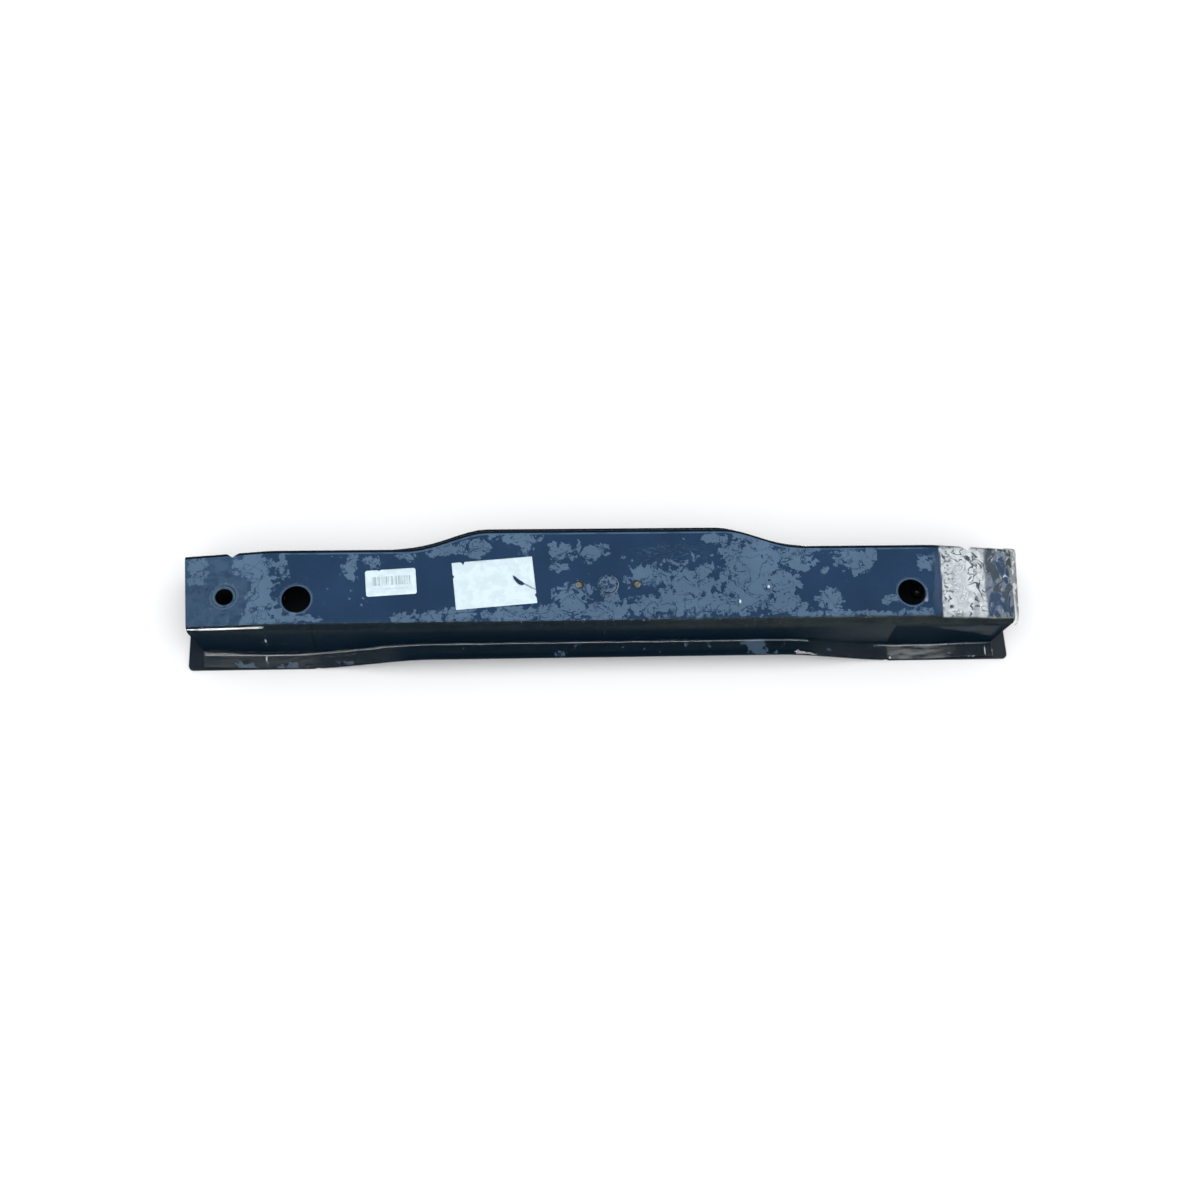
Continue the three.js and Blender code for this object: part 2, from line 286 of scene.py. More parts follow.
def half_section(x, side, offset, step):
    """Points and outward directions from a flange's edge to the middle of the face."""
    wall = wall_at(x, side)
    rear = wall + WALL_DRAFT
    face = face_at(x)
    flange = flange_at(x)
    rows = []

    def along(count, place, direction):
        for i in range(count):
            t = i / count
            y, z = place(t)
            ny, nz = direction(t)
            rows.append((side * y, z, side * ny, nz))

    r = FILM_FILLET + (2.6 * eased(-x, 360, 400) if side < 0 else 0.0)
    bend_y, bend_z = rear + offset + r, flange + offset + r
    along(
        max(2, round((FLANGE_WIDTH - FILM_FILLET - 1) / step)),
        lambda t: (rear + FLANGE_WIDTH - t * (FLANGE_WIDTH - r - offset), flange + offset),
        lambda t: (0.0, 1.0),
    )
    along(
        8,
        lambda t: (
            bend_y + r * math.cos(-math.pi / 2 * (1 + t)),
            bend_z + r * math.sin(-math.pi / 2 * (1 + t)),
        ),
        lambda t: (math.sin(math.pi / 2 * t), math.cos(math.pi / 2 * t)),
    )
    corner_y, corner_z = wall - FRONT_RADIUS, face - FRONT_RADIUS
    low = bend_z
    along(
        max(6, round((END_DEPTH - 11) / step)),
        lambda t: (rear + offset - t * WALL_DRAFT, low + t * (corner_z - low)),
        lambda t: (1.0, 0.0),
    )
    flat = eased(-x, 418, 432) if side < 0 else 0.0

    def round_front(t):
        # Near the left tip the film bridges the corner in a flat band.
        turn = math.radians(90 * t)
        off = abs(turn - math.radians(48))
        reach = FRONT_RADIUS + offset
        if off < math.radians(13):
            reach += flat * ((reach + 0.28) / math.cos(off) - reach)
        return corner_y + reach * math.cos(turn), corner_z + reach * math.sin(turn)

    along(15, round_front, lambda t: (math.cos(math.pi / 2 * t), math.sin(math.pi / 2 * t)))
    along(
        round((HALF_HEIGHT + HUMP_RISE / 2) / step),
        lambda t: (corner_y * (1 - t), face + offset),
        lambda t: (0.0, 1.0),
    )
    return rows


# ---------------------------------------------------------------- making meshes


def mesh_piece(name, vertices, faces, smooth_faces=True, angle=40.0):
    """A piece from millimetre points, shaded smooth but for its sharp edges."""
    mesh = bpy.data.meshes.new(name)
    mesh.from_pydata([Vector(v) * MM for v in vertices], [], faces)
    mesh.validate()
    if smooth_faces:
        mesh.shade_smooth()
        mesh.set_sharp_from_angle(angle=math.radians(angle))
    piece = bpy.data.objects.new(name, mesh)
    bpy.context.scene.collection.objects.link(piece)
    return piece


def finish_piece(piece, slot, material, *nodes):
    """Puts the piece in the place of its CAD nodes, on the beam's only body."""
    piece.data.materials.clear()
    piece.data.materials.append(material)
    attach(piece, "root")
    if nodes:
        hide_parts(*nodes)
    return piece


def repaint_node(name, material):
    """Gives a CAD node its paint and even shading."""
    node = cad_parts[name]
    for slot in node.material_slots:
        slot.link = "OBJECT"
        slot.material = material
    weighted = node.modifiers.new("even_shading", "WEIGHTED_NORMAL")
    weighted.keep_sharp = True
    weighted.weight = 80
    return node


def turned(profile, sides, centre, outline=None):
    """A turned mesh from (radius, z) points round a centre line along Z."""
    vertices, faces = [], []
    for i in range(sides):
        angle = 2 * math.pi * i / sides
        for radius, z in profile:
            r = radius if outline is None else outline(radius, angle)
            vertices.append((centre[0] + r * math.cos(angle), centre[1] + r * math.sin(angle), z))
    count = len(profile)
    for i in range(sides):
        j = (i + 1) % sides
        for k in range(count - 1):
            faces.append((i * count + k, i * count + k + 1, j * count + k + 1, j * count + k))
    return vertices, faces


# ---------------------------------------------------------------- node helpers


class Finish:
    """A material with short ways to add nodes to it."""

    def __init__(self, name):
        self.material = bpy.data.materials.new(name)
        self.material.use_nodes = True
        self.tree = self.material.node_tree
        self.tree.nodes.clear()
        self.output = self.tree.nodes.new("ShaderNodeOutputMaterial")
        place = self.tree.nodes.new("ShaderNodeTexCoord").outputs["Object"]
        self.place = self.vector("SCALE", place, scale=1000.0)  # millimetres
        parts = self.tree.nodes.new("ShaderNodeSeparateXYZ")
        self.tree.links.new(self.place, parts.inputs[0])
        self.x, self.y, self.z = parts.outputs

    def put(self, socket, value):
        if isinstance(value, bpy.types.NodeSocket):
            self.tree.links.new(value, socket)
        elif isinstance(value, (tuple, list)) and len(value) == 3 and socket.type == "RGBA":
            socket.default_value = (*value, 1.0)
        else:
            socket.default_value = value

    def node(self, kind, inputs=None, **settings):
        made = self.tree.nodes.new(kind)
        for key, value in settings.items():
            setattr(made, key, value)
        for key, value in (inputs or {}).items():
            self.put(made.inputs[key], value)
        return made

    def maths(self, operation, a, b=None, c=None, clamp_it=False):
        made = self.node("ShaderNodeMath", operation=operation, use_clamp=clamp_it)
        for i, value in enumerate((a, b, c)):
            if value is not None:
                self.put(made.inputs[i], value)
        return made.outputs[0]

    def times(self, a, b):
        return self.maths("MULTIPLY", a, b)

    def plus(self, a, b):
        return self.maths("ADD", a, b)

    def minus(self, a, b):
        return self.maths("SUBTRACT", a, b)

    def most(self, a, b):
        return self.maths("MAXIMUM", a, b)

    def scaled(self, a, factor, offset):
        return self.maths("MULTIPLY_ADD", a, factor, offset)

    def apart(self, a, b):
        """How far two values are from each other."""
        return self.maths("ABSOLUTE", self.minus(a, b))

    def vector(self, operation, a, b=None, scale=None):
        made = self.node("ShaderNodeVectorMath", operation=operation)
        self.put(made.inputs[0], a)
        if b is not None:
            self.put(made.inputs[1], b)
        if scale is not None:
            made.inputs["Scale"].default_value = scale
        return made.outputs["Value" if operation in ("LENGTH", "DISTANCE", "DOT_PRODUCT") else 0]

    def noise(self, grain, detail=3.0, roughness=0.5, place=None, warp=0.0, colour=False):
        """Cloud noise whose lumps are about this many millimetres across."""
        made = self.node(
            "ShaderNodeTexNoise",
            {
                "Vector": place or self.place,
                "Scale": 1.0 / grain,
                "Detail": detail,
                "Roughness": roughness,
                "Distortion": warp,
            },
        )
        return made.outputs["Color" if colour else 0]

    def cells(self, grain, feature="F1", place=None, smoothness=0.5):
        made = self.node("ShaderNodeTexVoronoi", feature=feature)
        self.put(made.inputs["Vector"], place or self.place)
        made.inputs["Scale"].default_value = 1.0 / grain
        if feature == "SMOOTH_F1":
            made.inputs["Smoothness"].default_value = smoothness
        return made.outputs["Distance"]

    def step(self, value, low, high, to_low=0.0, to_high=1.0):
        """Eases from to_low to to_high as the value goes from low to high."""
        made = self.node(
            "ShaderNodeMapRange",
            {
                "Value": value,
                "From Min": low,
                "From Max": high,
                "To Min": to_low,
                "To Max": to_high,
            },
            interpolation_type="SMOOTHSTEP",
        )
        return made.outputs["Result"]

    def blend(self, share, a, b):
        made = self.node("ShaderNodeMix", data_type="RGBA")
        self.put(made.inputs["Factor"], share)
        self.put(made.inputs[6], a)
        self.put(made.inputs[7], b)
        return made.outputs[2]

    def brighten(self, colour, value):
        """Multiplies a colour by a value."""
        made = self.node("ShaderNodeVectorMath", operation="MULTIPLY")
        self.put(made.inputs[0], colour)
        grey = self.node("ShaderNodeCombineXYZ", {"X": value, "Y": value, "Z": value})
        self.put(made.inputs[1], grey.outputs[0])
        return made.outputs[0]

    def bump(self, height, distance, strength):
        """Bump from a height of 0 to 1 that stands for this many millimetres."""
        made = self.node("ShaderNodeBump", {"Height": height})
        made.inputs["Strength"].default_value = strength
        made.inputs["Distance"].default_value = distance * MM
        return made.outputs[0]

    def shader(self, colour, roughness, normal, metallic=0.0, specular=0.5):
        made = self.node(
            "ShaderNodeBsdfPrincipled",
            {"Base Color": colour, "Roughness": roughness, "Metallic": metallic},
        )
        if normal is not None:
            self.put(made.inputs["Normal"], normal)
        made.inputs["Specular IOR Level"].default_value = specular
        return made.outputs[0]

    def done(self, shader):
        self.tree.links.new(shader, self.output.inputs["Surface"])
        return self.material


# ---------------------------------------------------------------- finishes

# Where the film has let go of the face: middle, half lengths and how solid.
CLOUDS = (
    # left wing and the column beside the left access hole
    (-511, 14, 16, 26, 0.75),
    (-446, 20, 26, 20, 0.95),
    (-431, -14, 17, 40, 1.10),
    (-409, 12, 13, 26, 0.80),
    (-424, -52, 40, 12, 0.95),
    (-384, -56, 30, 8, 0.80),
    # between the column and the left shoulder of the hump
    (-322, 14, 15, 22, 0.65),
    (-293, 22, 20, 14, 0.62),
    (-250, 28, 18, 10, 0.55),
    (-204, 37, 34, 11, 0.90),
    (-166, 38, 22, 16, 0.85),
    # top of the hump, left half
    (-113, 51, 38, 10, 0.80),
    (-100, 38, 11, 20, 0.80),
    (-57, 33, 17, 14, 0.95),
    (-61, 14, 14, 9, 0.95),
    (-36, 38, 6, 20, 0.75),
    (-17, 33, 20, 14, 0.95),
    # lower edge, from the left
    (-258, -55, 17, 11, 0.95),
    (-221, -51, 28, 12, 0.92),
    (-184, -50, 24, 14, 0.95),
    (-123, -52, 44, 13, 0.95),
    (-66, -50, 30, 16, 0.98),
    (-42, -36, 24, 22, 0.98),
    (-30, -20, 16, 12, 0.90),
    (-8, -50, 36, 16, 1.00),
    (0, -30, 12, 24, 0.90),
    # the large field right of the middle
    (52, -2, 26, 18, 0.95),
    (46, -42, 20, 16, 0.95),
    (92, -40, 60, 18, 1.02),
    (106, -10, 38, 28, 0.98),
    (128, 6, 20, 12, 0.85),
    (183, 2, 30, 42, 1.30),
    (207, 30, 24, 18, 1.05),
    (148, -44, 44, 15, 0.98),
    (219, -12, 28, 22, 1.00),
    (222, -42, 30, 16, 1.00),
    # right shoulder of the hump
    (140, 50, 16, 10, 0.95),
    (182, 48, 16, 13, 0.80),
    (243, 24, 24, 22, 0.95),
    (264, 34, 18, 8, 0.75),
    # right arm
    (281, -36, 20, 19, 0.98),
    (276, 6, 8, 9, 0.80),
    (318, 14, 24, 20, 0.90),
    (338, 20, 9, 18, 1.00),
    (354, -38, 14, 6, 0.90),
    (308, -56, 86, 6, 0.85),
    (410, 14, 14, 16, 0.78),
    (398, -56, 26, 8, 0.80),
)

# The same on the near flange.
FLANGE_CLOUDS = (
    (192, -78, 16, 12, 1.10),
    (-452, -86, 22, 8, 0.80),
    (-400, -88, 18, 6, 0.80),
    (-60, -84, 14, 6, 0.75),
    (-330, -84, 20, 5, 0.65),
)


def cloud_field(paint, clouds, place):
    """1 in the middle of each cloud, 0 at its edge and negative beyond it."""
    field = None
    for x, y, half_length, half_height, solid in clouds:
        near = paint.vector("SUBTRACT", place, (x, y, 0.0))
        near = paint.vector("MULTIPLY", near, (1.0 / half_length, 1.0 / half_height, 0.0))
        share = paint.minus(solid, paint.vector("LENGTH", near))
        field = share if field is None else paint.most(field, share)
    return field


def hump_edge_highlight(paint):
    """A painted highlight: a thin pale line where the face turns into the humped edge's bend."""
    side = paint.maths("ABSOLUTE", paint.x)
    share = paint.maths("DIVIDE", paint.minus(HUMP_FOOT, side), HUMP_FOOT - HUMP_SHOULDER)
    share = paint.maths("POWER", paint.most(share, 0.0), HUMP_SKEW)
    rise = paint.step(share, 0.0, 1.0, 0.0, HUMP_RISE)
    edge = paint.plus(rise, HALF_HEIGHT - FRONT_RADIUS + CENTRE_Y)
    off = paint.apart(paint.minus(paint.y, edge), 0.6)
    line = paint.step(off, 1.5, 0.7)
    broken = paint.step(paint.noise(22.0, 3.0, 0.6), 0.36, 0.52)
    line = paint.times(line, paint.scaled(broken, 0.45, 0.35))
    return paint.times(line, paint.step(side, 420.0, 400.0))


def smears(paint, warped):
    """Wiped arcs on the hump and faint rings pressed round the tow-eye hole."""
    near = paint.vector("SUBTRACT", warped, (86.0, 30.0, 0.0))
    near = paint.vector("LENGTH", paint.vector("MULTIPLY", near, (1 / 62, 1 / 20, 0.0)))
    place = paint.vector("MULTIPLY", paint.place, (1.0, 2.2, 0.0))
    arcs = paint.noise(52.0, 2.0, 0.45, place=place, warp=1.6)
    arcs = paint.maths("PINGPONG", arcs, 0.035)
    arcs = paint.times(paint.step(arcs, 0.026, 0.033), paint.step(near, 1.0, 0.5))
    tow = paint.vector("SUBTRACT", paint.place, (TOW_X, TOW_Y + CENTRE_Y, 0.0))
    tow = paint.vector("LENGTH", paint.vector("MULTIPLY", tow, (1.0, 1.0, 0.0)))
    ring = paint.apart(tow, 21.5)
    broken = paint.step(paint.noise(6.0, 2.0, 0.6), 0.40, 0.60)
    ring = paint.times(paint.step(ring, 1.6, 0.4), broken)
    return paint.most(paint.times(arcs, 0.42), paint.times(ring, 0.45))


def blue_paint(settings):
    """Deep blue coat with sharp, ragged islands of pale bloom under the film, painted shade on the
    walls, flanges and fold, and a painted highlight and a painted reflection along the bends.
    """
    paint = Finish("cloudy_blue_paint")
    shift = paint.noise(34.0, 3.0, 0.6, colour=True)
    shift = paint.vector("SUBTRACT", shift, (0.5, 0.5, 0.5))
    warped = paint.vector("ADD", paint.place, paint.vector("SCALE", shift, scale=16.0))

    # Islands: a soft field of places, cut ragged by noise of several sizes.
    field = paint.most(cloud_field(paint, CLOUDS, warped), -0.6)
    lobes = paint.cells(7.5, "SMOOTH_F1", place=warped, smoothness=0.35)
    lumps = paint.noise(13.0, 5.0, 0.58, warp=0.35)
    crumbs = paint.noise(2.6, 3.0, 0.65)
    ragged = paint.scaled(lumps, 3.4, -1.70)
    ragged = paint.plus(ragged, paint.scaled(crumbs, 1.25, -0.62))
    ragged = paint.plus(ragged, paint.scaled(lobes, -0.9, 0.36))
    level = paint.plus(paint.times(field, 1.25), ragged)
    island = paint.step(level, -0.015, 0.03)

    # Thin dark creeks that wander through the islands.
    creek = paint.noise(24.0, 5.0, 0.62, warp=0.8)
    creek = paint.apart(creek, 0.5)
    creek = paint.step(creek, 0.008, 0.016)
    deep = paint.step(level, 1.1, 1.8)
    island = paint.times(island, paint.most(creek, deep))
    # Pinholes in the bloom, thick in some places and absent in others.
    pits = paint.step(paint.cells(5.6), 0.11, 0.19)
    sparse = paint.step(paint.noise(40.0, 2.0, 0.5), 0.44, 0.56)
    island = paint.times(island, paint.most(pits, sparse))

    facing = paint.node("ShaderNodeNewGeometry").outputs["Normal"]
    facing = paint.node("ShaderNodeSeparateXYZ", {0: facing}).outputs[2]
    front = paint.step(facing, 0.93, 0.985)
    raised = paint.step(paint.z, 50.0, 60.0)
    on_face = paint.times(front, raised)

    flange_field = cloud_field(paint, FLANGE_CLOUDS, warped)
    flange_level = paint.plus(paint.most(flange_field, -0.6), ragged)
    flange_island = paint.step(flange_level, -0.03, 0.05)
    flange_island = paint.times(flange_island, 0.55)
    flange_island = paint.times(flange_island, paint.minus(front, on_face))
    bloom = paint.plus(paint.times(island, on_face), flange_island)
    bloom = paint.most(bloom, paint.times(smears(paint, warped), on_face))
    # The painted highlight along the humped edge's bend.
    bloom = paint.most(bloom, paint.times(hump_edge_highlight(paint), raised))

    # Pale rims where the film was cut round the three holes.
    for cut_x, cut_y, radius in film_cuts():
        flat = paint.vector("MULTIPLY", paint.place, (1.0, 1.0, 0.0))
        away = paint.vector("DISTANCE", flat, (cut_x, cut_y + CENTRE_Y, 0.0))
        rim = paint.step(paint.apart(away, radius - 0.6), 1.0, 0.5)
        bloom = paint.most(bloom, paint.times(paint.times(rim, on_face), 0.55))

    # A thin even veil over the left wing.
    veil = paint.times(paint.step(paint.x, -424.0, -448.0), on_face)
    veil = paint.times(veil, paint.step(lumps, 0.30, 0.62, 0.12, 0.42))
    bloom = paint.most(bloom, veil)

    # Faint flow marks and slow changes of depth in the coat.
    cloud = paint.noise(60.0, 3.0, 0.5)
    fine = paint.noise(1.6, 2.0, 0.6)
    tone = paint.scaled(cloud, 0.5, 0.75)
    tone = paint.times(tone, paint.scaled(fine, 0.3, 0.85))
    # Off the face the paint takes the darker wall blue: painted shade on the walls and flanges.
    deep_blue = paint.blend(on_face, tuple(settings.wall_shade_colour), tuple(settings.clear_colour))
    # Painted shade: a near-black line down the upright fold in both walls.
    fold = paint.apart(paint.maths("ABSOLUTE", paint.x), FOLD_X)
    fold = paint.times(paint.step(fold, 1.3, 0.5), paint.minus(1.0, on_face))
    deep_blue = paint.blend(paint.times(fold, 0.8), deep_blue, (0.0008, 0.0020, 0.0030))
    colour = paint.blend(bloom, deep_blue, tuple(settings.cloudy_colour))
    # A painted dull olive reflection along the near front bend, most of all at the right.
    near_bend = paint.times(paint.step(paint.y, -57.5, -59.5), paint.step(paint.z, 58.0, 70.0))
    olive_reflection = paint.step(paint.noise(18.0, 5.0, 0.7), 0.30, 0.70, 0.45, 0.90)
    olive_reflection = paint.times(olive_reflection, paint.step(paint.x, -100.0, 330.0, 0.35, 1.0))
    colour = paint.blend(paint.times(near_bend, olive_reflection), colour, (0.026, 0.033, 0.032))
    colour = paint.brighten(colour, tone)

    roughness = paint.scaled(bloom, 0.22, settings.gloss_roughness)
    roughness = paint.scaled(fine, 0.10, roughness)
    peel = paint.noise(2.2, 2.0, 0.5)
    height = paint.scaled(bloom, 0.6, paint.times(peel, 0.4))
    normal = paint.bump(height, 0.05, 0.6)
    return paint.done(paint.shader(colour, roughness, normal, specular=0.01))


def plug_paint(settings):
    """Bloomed blue on the plug, with painted shade along a broken rim, in two tool slots and at a
    tick on the right, and a painted highlight on the rim's right.
    """
    paint = Finish("blanking_plug_paint")
    lumps = paint.noise(5.0, 5.0, 0.65, warp=0.5)
    bloom = paint.step(lumps, 0.44, 0.50)
    fine = paint.noise(1.2, 3.0, 0.6)
    colour = paint.blend(bloom, tuple(settings.clear_colour), tuple(settings.cloudy_colour))
    flat = paint.vector("SUBTRACT", paint.place, (0, CENTRE_Y, 0))
    flat = paint.vector("MULTIPLY", flat, (1, 1, 0))
    out = paint.vector("LENGTH", flat)
    # Painted shade: dark broken rim, two tool slots and a tick at the right.
    rim = paint.step(paint.apart(out, 11.9), 0.9, 0.3)
    broken = paint.step(paint.noise(7.0, 3.0, 0.6), 0.42, 0.52)
    dark = paint.times(rim, broken)
    for x, y, reach in ((2.4, 11.6, 1.7), (-1.2, -11.4, 1.5), (10.6, 0.6, 1.5)):
        slot = paint.vector("DISTANCE", flat, (x, y, 0.0))
        dark = paint.most(dark, paint.step(slot, reach, reach - 0.7))
    colour = paint.blend(dark, colour, (0.003, 0.008, 0.010))
    # A painted highlight on the right of the rim.
    glint = paint.step(paint.apart(out, 12.9), 0.35, 0.1)
    east = paint.node("ShaderNodeSeparateXYZ", {0: flat}).outputs[0]
    glint = paint.times(glint, paint.step(east, 7.0, 11.0))
    colour = paint.blend(glint, colour, (0.32, 0.40, 0.42))
    colour = paint.brighten(colour, paint.scaled(fine, 0.4, 0.8))
    roughness = paint.scaled(bloom, 0.2, settings.gloss_roughness)
    height = paint.minus(paint.times(bloom, 0.4), dark)
    normal = paint.bump(height, 0.15, 0.8)
    return paint.done(paint.shader(colour, roughness, normal, specular=0.1))


def inside_paint(settings):
    """Near-black uneven coat over the partitions and the fittings inside: painted shade inside the
    box.
    """
    paint = Finish("recess_shade_paint")
    patchy = paint.noise(12.0, 4.0, 0.6)
    speck = paint.step(paint.noise(1.4, 2.0, 0.7), 0.62, 0.72)
    bare = tuple(3.5 * c for c in settings.recess_shade_colour)
    colour = paint.blend(paint.times(speck, 0.5), tuple(settings.recess_shade_colour), bare)
    colour = paint.brighten(colour, paint.scaled(patchy, 0.7, 0.65))
    roughness = paint.scaled(patchy, 0.25, 0.55)
    normal = paint.bump(paint.noise(1.8, 3.0, 0.6), 0.06, 0.7)
    return paint.done(paint.shader(colour, roughness, normal, specular=0.10))


def socket_paint(settings):
    """Bloomed blue on the socket's end ring, and near black painted shade down its thread."""
    paint = Finish("tow_socket_paint")
    mouth = paint.step(paint.z, face_at(TOW_X) - 1.6, face_at(TOW_X) - 0.6)
    lumps = paint.noise(5.0, 4.0, 0.6)
    ring = tuple(0.85 * c for c in settings.cloudy_colour)
    dull = tuple(1.5 * c for c in settings.clear_colour)
    colour = paint.blend(paint.step(lumps, 0.36, 0.52), dull, ring)
    # Below the mouth: near-black painted shade down the bore.
    colour = paint.blend(mouth, tuple(settings.recess_shade_colour), colour)
    grit = paint.noise(1.1, 3.0, 0.6)
    colour = paint.brighten(colour, paint.scaled(grit, 0.4, 0.8))
    roughness = paint.scaled(lumps, 0.25, 0.40)
    normal = paint.bump(grit, 0.05, 0.6)
    return paint.done(paint.shader(colour, roughness, normal, specular=0.03))


def rear_paint(settings):
    """The coat on the rear plates, in the walls' painted-shade blue, with a row of spot welds along
    each flange.
    """
    paint = Finish("rear_plate_paint")
    cloud = paint.noise(48.0, 4.0, 0.55)
    fine = paint.noise(1.5, 2.0, 0.6)
    runs = paint.noise(9.0, 3.0, 0.6, place=paint.vector("MULTIPLY", paint.place, (1, 0.2, 1)))
    # The plates take the walls' painted-shade blue, clouded with a darkened clear blue.
    half_clear = tuple(0.30 * c for c in settings.clear_colour)
    colour = paint.blend(cloud, tuple(settings.wall_shade_colour), half_clear)
    colour = paint.brighten(colour, paint.scaled(runs, 0.5, 0.75))
    pitch = 42.0
    across = paint.apart(paint.y, CENTRE_Y)
    row = paint.minus(across, HALF_HEIGHT + WALL_DRAFT + FLANGE_WIDTH / 2)
    along = paint.maths("PINGPONG", paint.x, pitch / 2)
    weld = paint.node("ShaderNodeCombineXYZ", {"X": along, "Y": row, "Z": 0.0}).outputs[0]
    weld = paint.vector("LENGTH", weld)
    dish = paint.step(weld, 1.8, 3.4)
    rim = paint.minus(1.0, paint.step(paint.apart(weld, 3.4), 0.1, 0.8))
    colour = paint.blend(paint.times(rim, 0.35), colour, tuple(settings.cloudy_colour))
    height = paint.plus(paint.times(dish, 0.7), paint.times(rim, 0.2))
    height = paint.scaled(fine, 0.06, height)
    roughness = paint.scaled(cloud, 0.25, settings.gloss_roughness)
    normal = paint.bump(height, 0.35, 0.8)
    return paint.done(paint.shader(colour, roughness, normal, specular=0.15))


def plated_steel(settings):
    """Dull yellow-grey plating with dark specks and handling marks, and painted shade on the low
    mounting nuts.
    """
    steel = Finish("plated_nut_steel")
    patch = steel.noise(4.0, 4.0, 0.6)
    speck = steel.step(steel.noise(0.7, 2.0, 0.6), 0.56, 0.72)
    dark = tuple(0.35 * c for c in settings.steel_colour)
    colour = steel.blend(steel.times(speck, 0.6), tuple(settings.steel_colour), dark)
    colour = steel.brighten(colour, steel.scaled(patch, 0.8, 0.6))
    # Painted shade: deep in the box the mounting nuts turn near black in patches.
    painted = steel.times(steel.step(steel.z, 40.0, 20.0), steel.step(patch, 0.70, 0.60))
    colour = steel.blend(painted, colour, (0.006, 0.006, 0.005))
    roughness = steel.scaled(patch, 0.3, 0.28)
    roughness = steel.scaled(painted, 0.25, roughness)
    normal = steel.bump(steel.noise(0.5, 3.0, 0.6), 0.03, 0.7)
    return steel.done(steel.shader(colour, roughness, normal, metallic=0.85))


def label_paper(settings, name, centre, turn, bars):
    """Coated paper with fibres and faded print that spells nothing, and painted shade along the
    blank label's crease.
    """
    paper = Finish(name)
    cosine, sine = math.cos(-turn), math.sin(-turn)
    dx = paper.minus(paper.x, centre[0])
    dy = paper.minus(paper.y, centre[1])
    u = paper.minus(paper.times(dx, cosine), paper.times(dy, sine))
    v = paper.plus(paper.times(dx, sine), paper.times(dy, cosine))
    fibre = paper.noise(0.9, 3.0, 0.6)
    cloud = paper.noise(13.0, 4.0, 0.6)
    damp = paper.step(cloud, 0.42, 0.62)
    colour = paper.brighten(tuple(settings.paper_colour), paper.scaled(damp, 0.12, 0.90))
    colour = paper.brighten(colour, paper.scaled(fibre, 0.10, 0.95))
    if bars:
        stripe = paper.node("ShaderNodeTexNoise", noise_dimensions="1D")
        paper.put(stripe.inputs["W"], u)
        stripe.inputs["Scale"].default_value = 1 / 1.5
        stripe.inputs["Detail"].default_value = 1.0
        ink = paper.step(stripe.outputs[0], 0.47, 0.53)
        inside = paper.times(paper.step(u, -24.5, -24.0), paper.step(u, 25.5, 25.0))
        tall = paper.times(paper.step(v, -4.0, -3.4), paper.step(v, 8.6, 8.0))
        faded = paper.step(paper.noise(8.0, 3.0, 0.5), 0.22, 0.50)
        ink = paper.times(paper.times(ink, inside), tall)
        ink = paper.times(ink, faded)
        line = paper.times(paper.step(v, -9.6, -9.3), paper.step(v, -7.6, -7.9))
        line = paper.times(line, paper.times(paper.step(u, -9, -8.5), paper.step(u, 21, 20.5)))
        dashes = paper.step(paper.maths("PINGPONG", u, 0.8), 0.30, 0.36)
        ink = paper.most(ink, paper.times(paper.times(line, dashes), 0.5))
        colour = paper.blend(paper.times(ink, 0.8), colour, tuple(settings.ink_colour))
    else:
        # Painted shade along the crease that runs to the blank label's lower corner.
        along = paper.minus(paper.times(u, 0.83), paper.times(v, 0.56))
        off = paper.plus(paper.times(u, 0.56), paper.times(v, 0.83))
        wander = paper.scaled(paper.noise(5.0, 2.0, 0.6), 3.0, -18.6)
        off = paper.maths("ABSOLUTE", paper.plus(off, wander))
        crease = paper.times(paper.step(off, 1.5, 0.5), paper.step(along, 31.0, 34.0))
        colour = paper.blend(paper.times(crease, 0.75), colour, (0.10, 0.13, 0.15))
    roughness = paper.scaled(damp, -0.15, 0.55)
    normal = paper.bump(paper.plus(paper.times(fibre, 0.3), cloud), 0.12, 0.6)
    return paper.done(paper.shader(colour, roughness, normal, specular=0.4))


# Painted highlights on small creases in the film: middle and reach along x, y and z.
GLINTS = (
    (371.0, -88.0, 9.0, 3.0, 3.2, 4.0),
    (-376.0, -70.5, 10.5, 4.5, 2.0, 2.6),
    (-428.0, -67.0, 44.0, 1.0, 3.0, 7.0),
    (-431.0, -77.0, 6.5, 1.0, 4.0, 3.0),
    (498.0, -80.0, 6.5, 0.9, 9.0, 3.0),
    (166.0, -38.0, 83.5, 1.8, 3.4, 3.0),
    (204.0, -18.0, 83.5, 2.0, 2.6, 3.0),
)


def glints(film):
    """1 on each small crease's painted highlight, 0 elsewhere."""
    field = None
    for x, y, z, reach_x, reach_y, reach_z in GLINTS:
        near = film.vector("SUBTRACT", film.place, (x, y, z))
        near = film.vector("MULTIPLY", near, (1.0 / reach_x, 1.0 / reach_y, 1.0 / reach_z))
        spot = film.step(film.vector("LENGTH", near), 1.0, 0.55)
        field = spot if field is None else film.most(field, spot)
    return field


